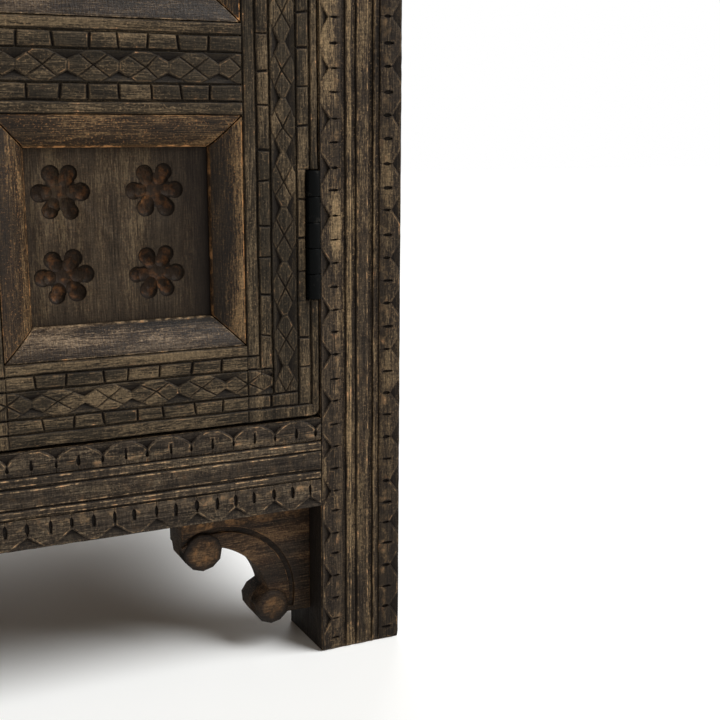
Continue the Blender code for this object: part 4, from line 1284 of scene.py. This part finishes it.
for word, side in pair:
    node = "scroll_bracket_" + word
    low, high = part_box(node)
    cornerX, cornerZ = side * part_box("front_post_right")[0].x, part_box("apron_front")[0].z

    def placed(points):
        return [(cornerX - side * out, cornerZ - down) for out, down in points]

    gap = bracket["gap"]
    free = {key: bracket["flats"][key][0] for key in ("upper", "lower")}
    outline = [(gap, gap), (bracket["lip"][0], gap), bracket["lip"]]
    outline += cutRound("upper")[:free["upper"]]
    outline += arcPoints(*bracket["centre"], bracket["radius"], *bracket["turn"], bracket["steps"])
    outline += cutRound("lower")[1:free["lower"] + 1]
    outline += [bracket["block"], (gap, bracket["block"][1])]
    body = slab("body", placed(outline), low.y, high.y)
    radius, turn, steps = bracket["coveRadius"], bracket["coveTurn"], bracket["coveSteps"]
    cove = arcPoints(*bracket["coveCentre"], radius, *turn, steps)
    cove += arcPoints(*bracket["coveCentre"], radius + bracket["coveWidth"], *turn[::-1], steps)
    floor = low.y + bracket["coveDepth"]
    cutAway(body, slab("cove", placed(cove), low.y - bracket["cutterProud"], floor))
    easeEdges(body, bracket["ease"])
    bared, dark, reach = bracket["strip"]
    cuts = [((0, 0, cornerZ - down), (0, 0, 1)) for down in (bared, dark)]
    cuts.append(((cornerX - side * reach, 0, 0), (1, 0, 0)))
    soilAndShade(body, cuts, lambda place: bracket["coveDirt"] if abs(place.y - floor) < near["cut"] else 0.0)
    openEdit(body, "VERT")
    bm, wear = opened(body, "wear")
    for vert in bm.verts:
        if vert.co.y < low.y + near["cut"] and cornerZ - vert.co.z < bared + near["line"]:
            isFar = side * (cornerX - vert.co.x) > reach - near["line"]
            vert[wear] = bracket["stripWear"][0 if isFar else 1]
    done(body)
    parts = [body]
    for key, (proud, rounding, inset, dirt, worn) in bracket["volutes"].items():
        face = low.y - proud
        button = slab("volute", placed(cutRound(key)), face, face + bracket["voluteDepth"])
        addWearLayers(button)
        openEdit(button, "EDGE")
        choose(button, "edges", lambda e: all(abs(v.co.y - face) < near["corner"] for v in e.verts))
        bpy.ops.mesh.bevel(offset=rounding, segments=6, profile=0.5, affect="EDGES")
        bpy.ops.mesh.select_mode(type="FACE")
        choose(button, "faces", lambda f: len(f.verts) > 8 and f.calc_center_median().y < low.y)
        bpy.ops.mesh.inset(thickness=inset, depth=0.0)
        bm, wear, depth, rub = opened(button, "wear", "depth", "rub")
        for vert in bm.verts:
            if vert.select:
                vert[rub] = bracket["voluteRub"]
                vert[wear] = worn
                vert[depth] = dirt
            # painted shade off the facet
            else:
                vert[depth] = bracket["voluteDirt"]
        done(button)
        parts.append(button)
    handOver(joined(pieceName(node), parts), scrollLevel, "case", node)
print("brackets shaped")


# Plain boards of the case, eased along their edges
plainBoards = (
    (("top_board",), carvedLevel, "carved_wood", 0.0008),
    (("rear_post_left", "rear_post_right"), carvedUpright, "carved_wood", 0.0016),
    (("side_rail_lower_left", "side_rail_lower_right", "side_rail_upper_left", "side_rail_upper_right"),
     carvedDeep, "carved_wood", 0.0010),
    (("back_rail_lower", "back_rail_upper"), carvedLevel, "carved_wood", 0.0010),
    (("side_panel_left", "side_panel_right", "back_panel"), panelUpright, "panel_wood", 0.0006),
    (("bottom_board", "shelf"), caseLevel, "case_wood", 0.0008),
    (("shelf_cleat_left", "shelf_cleat_right", "top_batten_left", "top_batten_right"),
     caseDeep, "case_wood", 0.0008),
    (("door_stop",), caseLevel, "case_wood", 0.0008),
)
for nodes, wood, slot, ease in plainBoards:
    for node in nodes:
        board = nodeCopy(node, pieceName(node))
        easeEdges(board, ease)
        handOver(board, wood, "case", node)
print("plain boards eased")


# Butt hinges: one pair of leaves and a pin, copied to the four places
hinge = {
    "knuckles": 5,
    "barrel": 0.0043,
    "pin": 0.0022,
    "pinEase": 0.0008,
    "clear": 0.0003,
    "leafWidth": 0.022,
    "leafThick": 0.002,
    "leafInset": 0.0002,  # from the barrel's side
    "tabReach": 0.001,  # into the plate
    "ease": 0.0004,
    "screw": 0.0030,
    "screwEase": 0.0002,
    "screwProud": 0.0003,
    "screwSunk": 3,  # times as deep as proud
    "screwsAt": (0.17, 0.5, 0.83),
    "screwBack": 0.0140,
    "slot": 0.0007,
    "slotDeep": 0.002,
    "slotLong": 1.2,  # of the head's radius
    "slotEase": 0.00005,
}


def easedBlock(name, low, high, ease):
    block = boxOf(name, low, high)
    openEdit(block, "EDGE")
    selectAll()
    bpy.ops.mesh.bevel(offset=ease, segments=2, profile=0.6, affect="EDGES")
    closeEdit()
    return block


def easedRod(name, radius, low, high, turn, ease):  # a round bar with eased rims
    rod = added(name, bpy.ops.mesh.primitive_cylinder_add, vertices=32, radius=radius,
                depth=(high - low).length, rotation=turn, location=(low + high) / 2)
    settle(rod)
    openEdit(rod, "EDGE")
    choose(rod, "edges", lambda e: any(len(f.verts) > 4 for f in e.link_faces))
    bpy.ops.mesh.bevel(offset=ease, segments=3, profile=0.5, affect="EDGES")
    closeEdit()
    return rod


upright, sideways = (0.0, 0.0, 0.0), (0.0, math.pi / 2, 0.0)
pinLow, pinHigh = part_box("right_hinge_lower_pin")
axisX = (pinLow.x + pinHigh.x) / 2
pitch = (pinHigh.z - pinLow.z) / hinge["knuckles"]
thick, clear, proud = hinge["leafThick"], hinge["clear"], hinge["screwProud"]
root = frontY + hinge["barrel"] + clear
models = {}
for own, part in enumerate(("post_leaf", "door_leaf")):
    if own == 0:
        plateX = axisX + hinge["barrel"] - hinge["leafInset"] - thick
    else:
        plateX = axisX - hinge["barrel"] + hinge["leafInset"]
    # the leaf's inner face, seen when the door is open
    shown, facing = (plateX, -1) if own == 0 else (plateX + thick, 1)
    parts = [easedBlock("plate", Vector((plateX, root, pinLow.z)),
                        Vector((plateX + thick, frontY + hinge["leafWidth"], pinHigh.z)), hinge["ease"])]
    for i in range(own, hinge["knuckles"], 2):
        bottom = pinLow.z + pitch * i + clear / 2
        top = bottom + pitch - clear
        ends = [Vector((axisX, frontY, z)) for z in (bottom, top)]
        parts.append(easedRod("knuckle", hinge["barrel"], *ends, upright, hinge["ease"]))
        tabEnd = Vector((plateX + thick, root + hinge["tabReach"], top - clear))
        parts.append(easedBlock("tab", Vector((plateX, frontY, bottom + clear)), tabEnd, hinge["ease"]))
    for share in hinge["screwsAt"]:
        centre = Vector((shown, frontY + hinge["screwBack"], pinLow.z + (pinHigh.z - pinLow.z) * share))
        out = Vector((facing * proud, 0, 0))
        screw = easedRod("screw", hinge["screw"], centre - out * hinge["screwSunk"], centre + out, sideways,
                         hinge["screwEase"])
        reach = Vector((hinge["slotDeep"], hinge["screw"] * hinge["slotLong"], hinge["slot"] / 2))
        slotAt = centre + Vector((hinge["slotDeep"] * facing, 0, 0))
        cutAway(screw, easedBlock("slot", slotAt - reach, slotAt + reach, hinge["slotEase"]))
        parts.append(screw)
    models[part] = joined(part, parts)
ends = [Vector((axisX, frontY, z)) for z in (pinLow.z, pinHigh.z)]
models["pin"] = easedRod("pin", hinge["pin"], *ends, upright, hinge["pinEase"])
for word, level in places:
    for part, model in models.items():
        node = word + "_hinge_" + level + "_" + part
        copy = linked(pieceName(node), model.data.copy())
        copy.location.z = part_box(node)[0].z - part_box("right_hinge_lower_" + part)[0].z
        copy.scale.x = 1.0 if word == "right" else -1.0
        settle(copy)
        openEdit(copy, "FACE")
        facesOut()
        closeEdit()
        body = word + "_door" if part == "door_leaf" else "case"
        handOver(copy, blackSteel, body, node)
for model in models.values():
    bpy.data.objects.remove(model)
print("hinges made")


# Knobs: turned on a rose
knob = {
    # radius and distance out from the door's face
    "profile": ((0.0, -0.0028), (0.0028, -0.0028), (0.0028, 0.0003), (0.0078, 0.0003), (0.0085, 0.0009),
                (0.0085, 0.0017), (0.0076, 0.0023), (0.0058, 0.0026), (0.0047, 0.0036), (0.0044, 0.0055),
                (0.0046, 0.0076), (0.0056, 0.0094), (0.0078, 0.0110), (0.0098, 0.0122), (0.0108, 0.0134),
                (0.0110, 0.0146), (0.0107, 0.0158), (0.0099, 0.0171), (0.0085, 0.0181), (0.0062, 0.0188),
                (0.0034, 0.0192), (0.0, 0.0193)),
    "steps": 40,
}
for word, side in pair:
    node = word + "_door_knob"
    low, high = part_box(node)
    centre = (low + high) / 2
    outline = [(centre.x + radius, frontY - out, centre.z) for radius, out in knob["profile"]]
    turned = ringOf(word + "Knob", outline, "NOTHING")
    openEdit(turned, "EDGE")
    choose(turned, "edges", lambda e: all(abs(v.co.x - centre.x) < near["corner"] for v in e.verts))
    bpy.ops.mesh.delete(type="EDGE")
    selectAll()
    bpy.ops.mesh.spin(steps=knob["steps"], angle=math.tau, center=(centre.x, 0.0, centre.z),
                      axis=(0.0, 1.0, 0.0))
    selectAll()
    bpy.ops.mesh.remove_doubles(threshold=near["corner"])
    bpy.ops.mesh.normals_make_consistent(inside=False)
    closeEdit()
    handOver(turned, blackSteel, word + "_door", node)
print("knobs turned")


# Floor, light and camera
studio = {
    "floorSize": 14.0, "floor": "fdfdfc", "floorRough": 0.9, "ambient": 0.24, "shade": "fff3e4",
    "sunTone": "fcfeff", "sunTurn": (0.55, -0.43, 0.72), "sunStrength": 3.5, "sunAngle": 40.0,
    "backTone": "ffffff", "backTurn": (0.34, 0.80, 0.48), "backStrength": 0.9, "backAngle": 28.0,
}
floor = added("floor", bpy.ops.mesh.primitive_plane_add, size=studio["floorSize"], location=(0.0, 0.0, 0.0))
# Matt white paper
paper, tree, shader = newMaterial("studioPaper")
shader.inputs["Base Color"].default_value = hexColour(studio["floor"])
shader.inputs["Roughness"].default_value = studio["floorRough"]
shader.inputs["Specular IOR Level"].default_value = 0.0
floor.data.materials.append(paper)

world = bpy.data.worlds.new("studio")
bpy.context.scene.world = world
world.use_nodes = True
tree = world.node_tree
back = tree.nodes["Background"]
# the camera and reflections see plain white, and the rest gets a weaker and warmer light
rays = addNode(tree, "LightPath", {}).node.outputs
seen = rays["Is Camera Ray"]
for key in ("Is Glossy Ray", "Is Transmission Ray"):
    seen = addNode(tree, "Math", {"operation": "MAXIMUM", 0: seen, 1: rays[key]})
level = addNode(tree, "MapRange", {"Value": seen, "To Min": studio["ambient"], "To Max": 1.0})
tone = addNode(tree, "MixRGB", {"Fac": seen, "Color1": hexColour(studio["shade"]), "Color2": grey(1.0)})
tree.links.new(tone, back.inputs["Color"])
tree.links.new(level, back.inputs["Strength"])

for name in ("sun", "back"):  # the main light, and one from behind that reaches in under the case
    turn = Vector(studio[name + "Turn"])
    bpy.ops.object.light_add(type="SUN", location=turn * 2)
    lamp = bpy.context.object
    lamp.data.energy = studio[name + "Strength"]
    lamp.data.color = hexColour(studio[name + "Tone"])[:3]
    lamp.data.angle = math.radians(studio[name + "Angle"])
    lamp.rotation_euler = turn.to_track_quat("Z", "Y").to_euler()

view = {"place": (-0.0456, -0.8192, 0.3286), "turn": (78.732, 0.0, -25.62), "lens": 58.33, "sensor": 36.0}
bpy.ops.object.camera_add(location=view["place"], rotation=[math.radians(a) for a in view["turn"]])
camera = bpy.context.object
camera.data.lens = view["lens"]
camera.data.sensor_width = view["sensor"]
bpy.context.scene.camera = camera
bpy.context.scene.view_settings.view_transform = "Standard"
print("studio set")
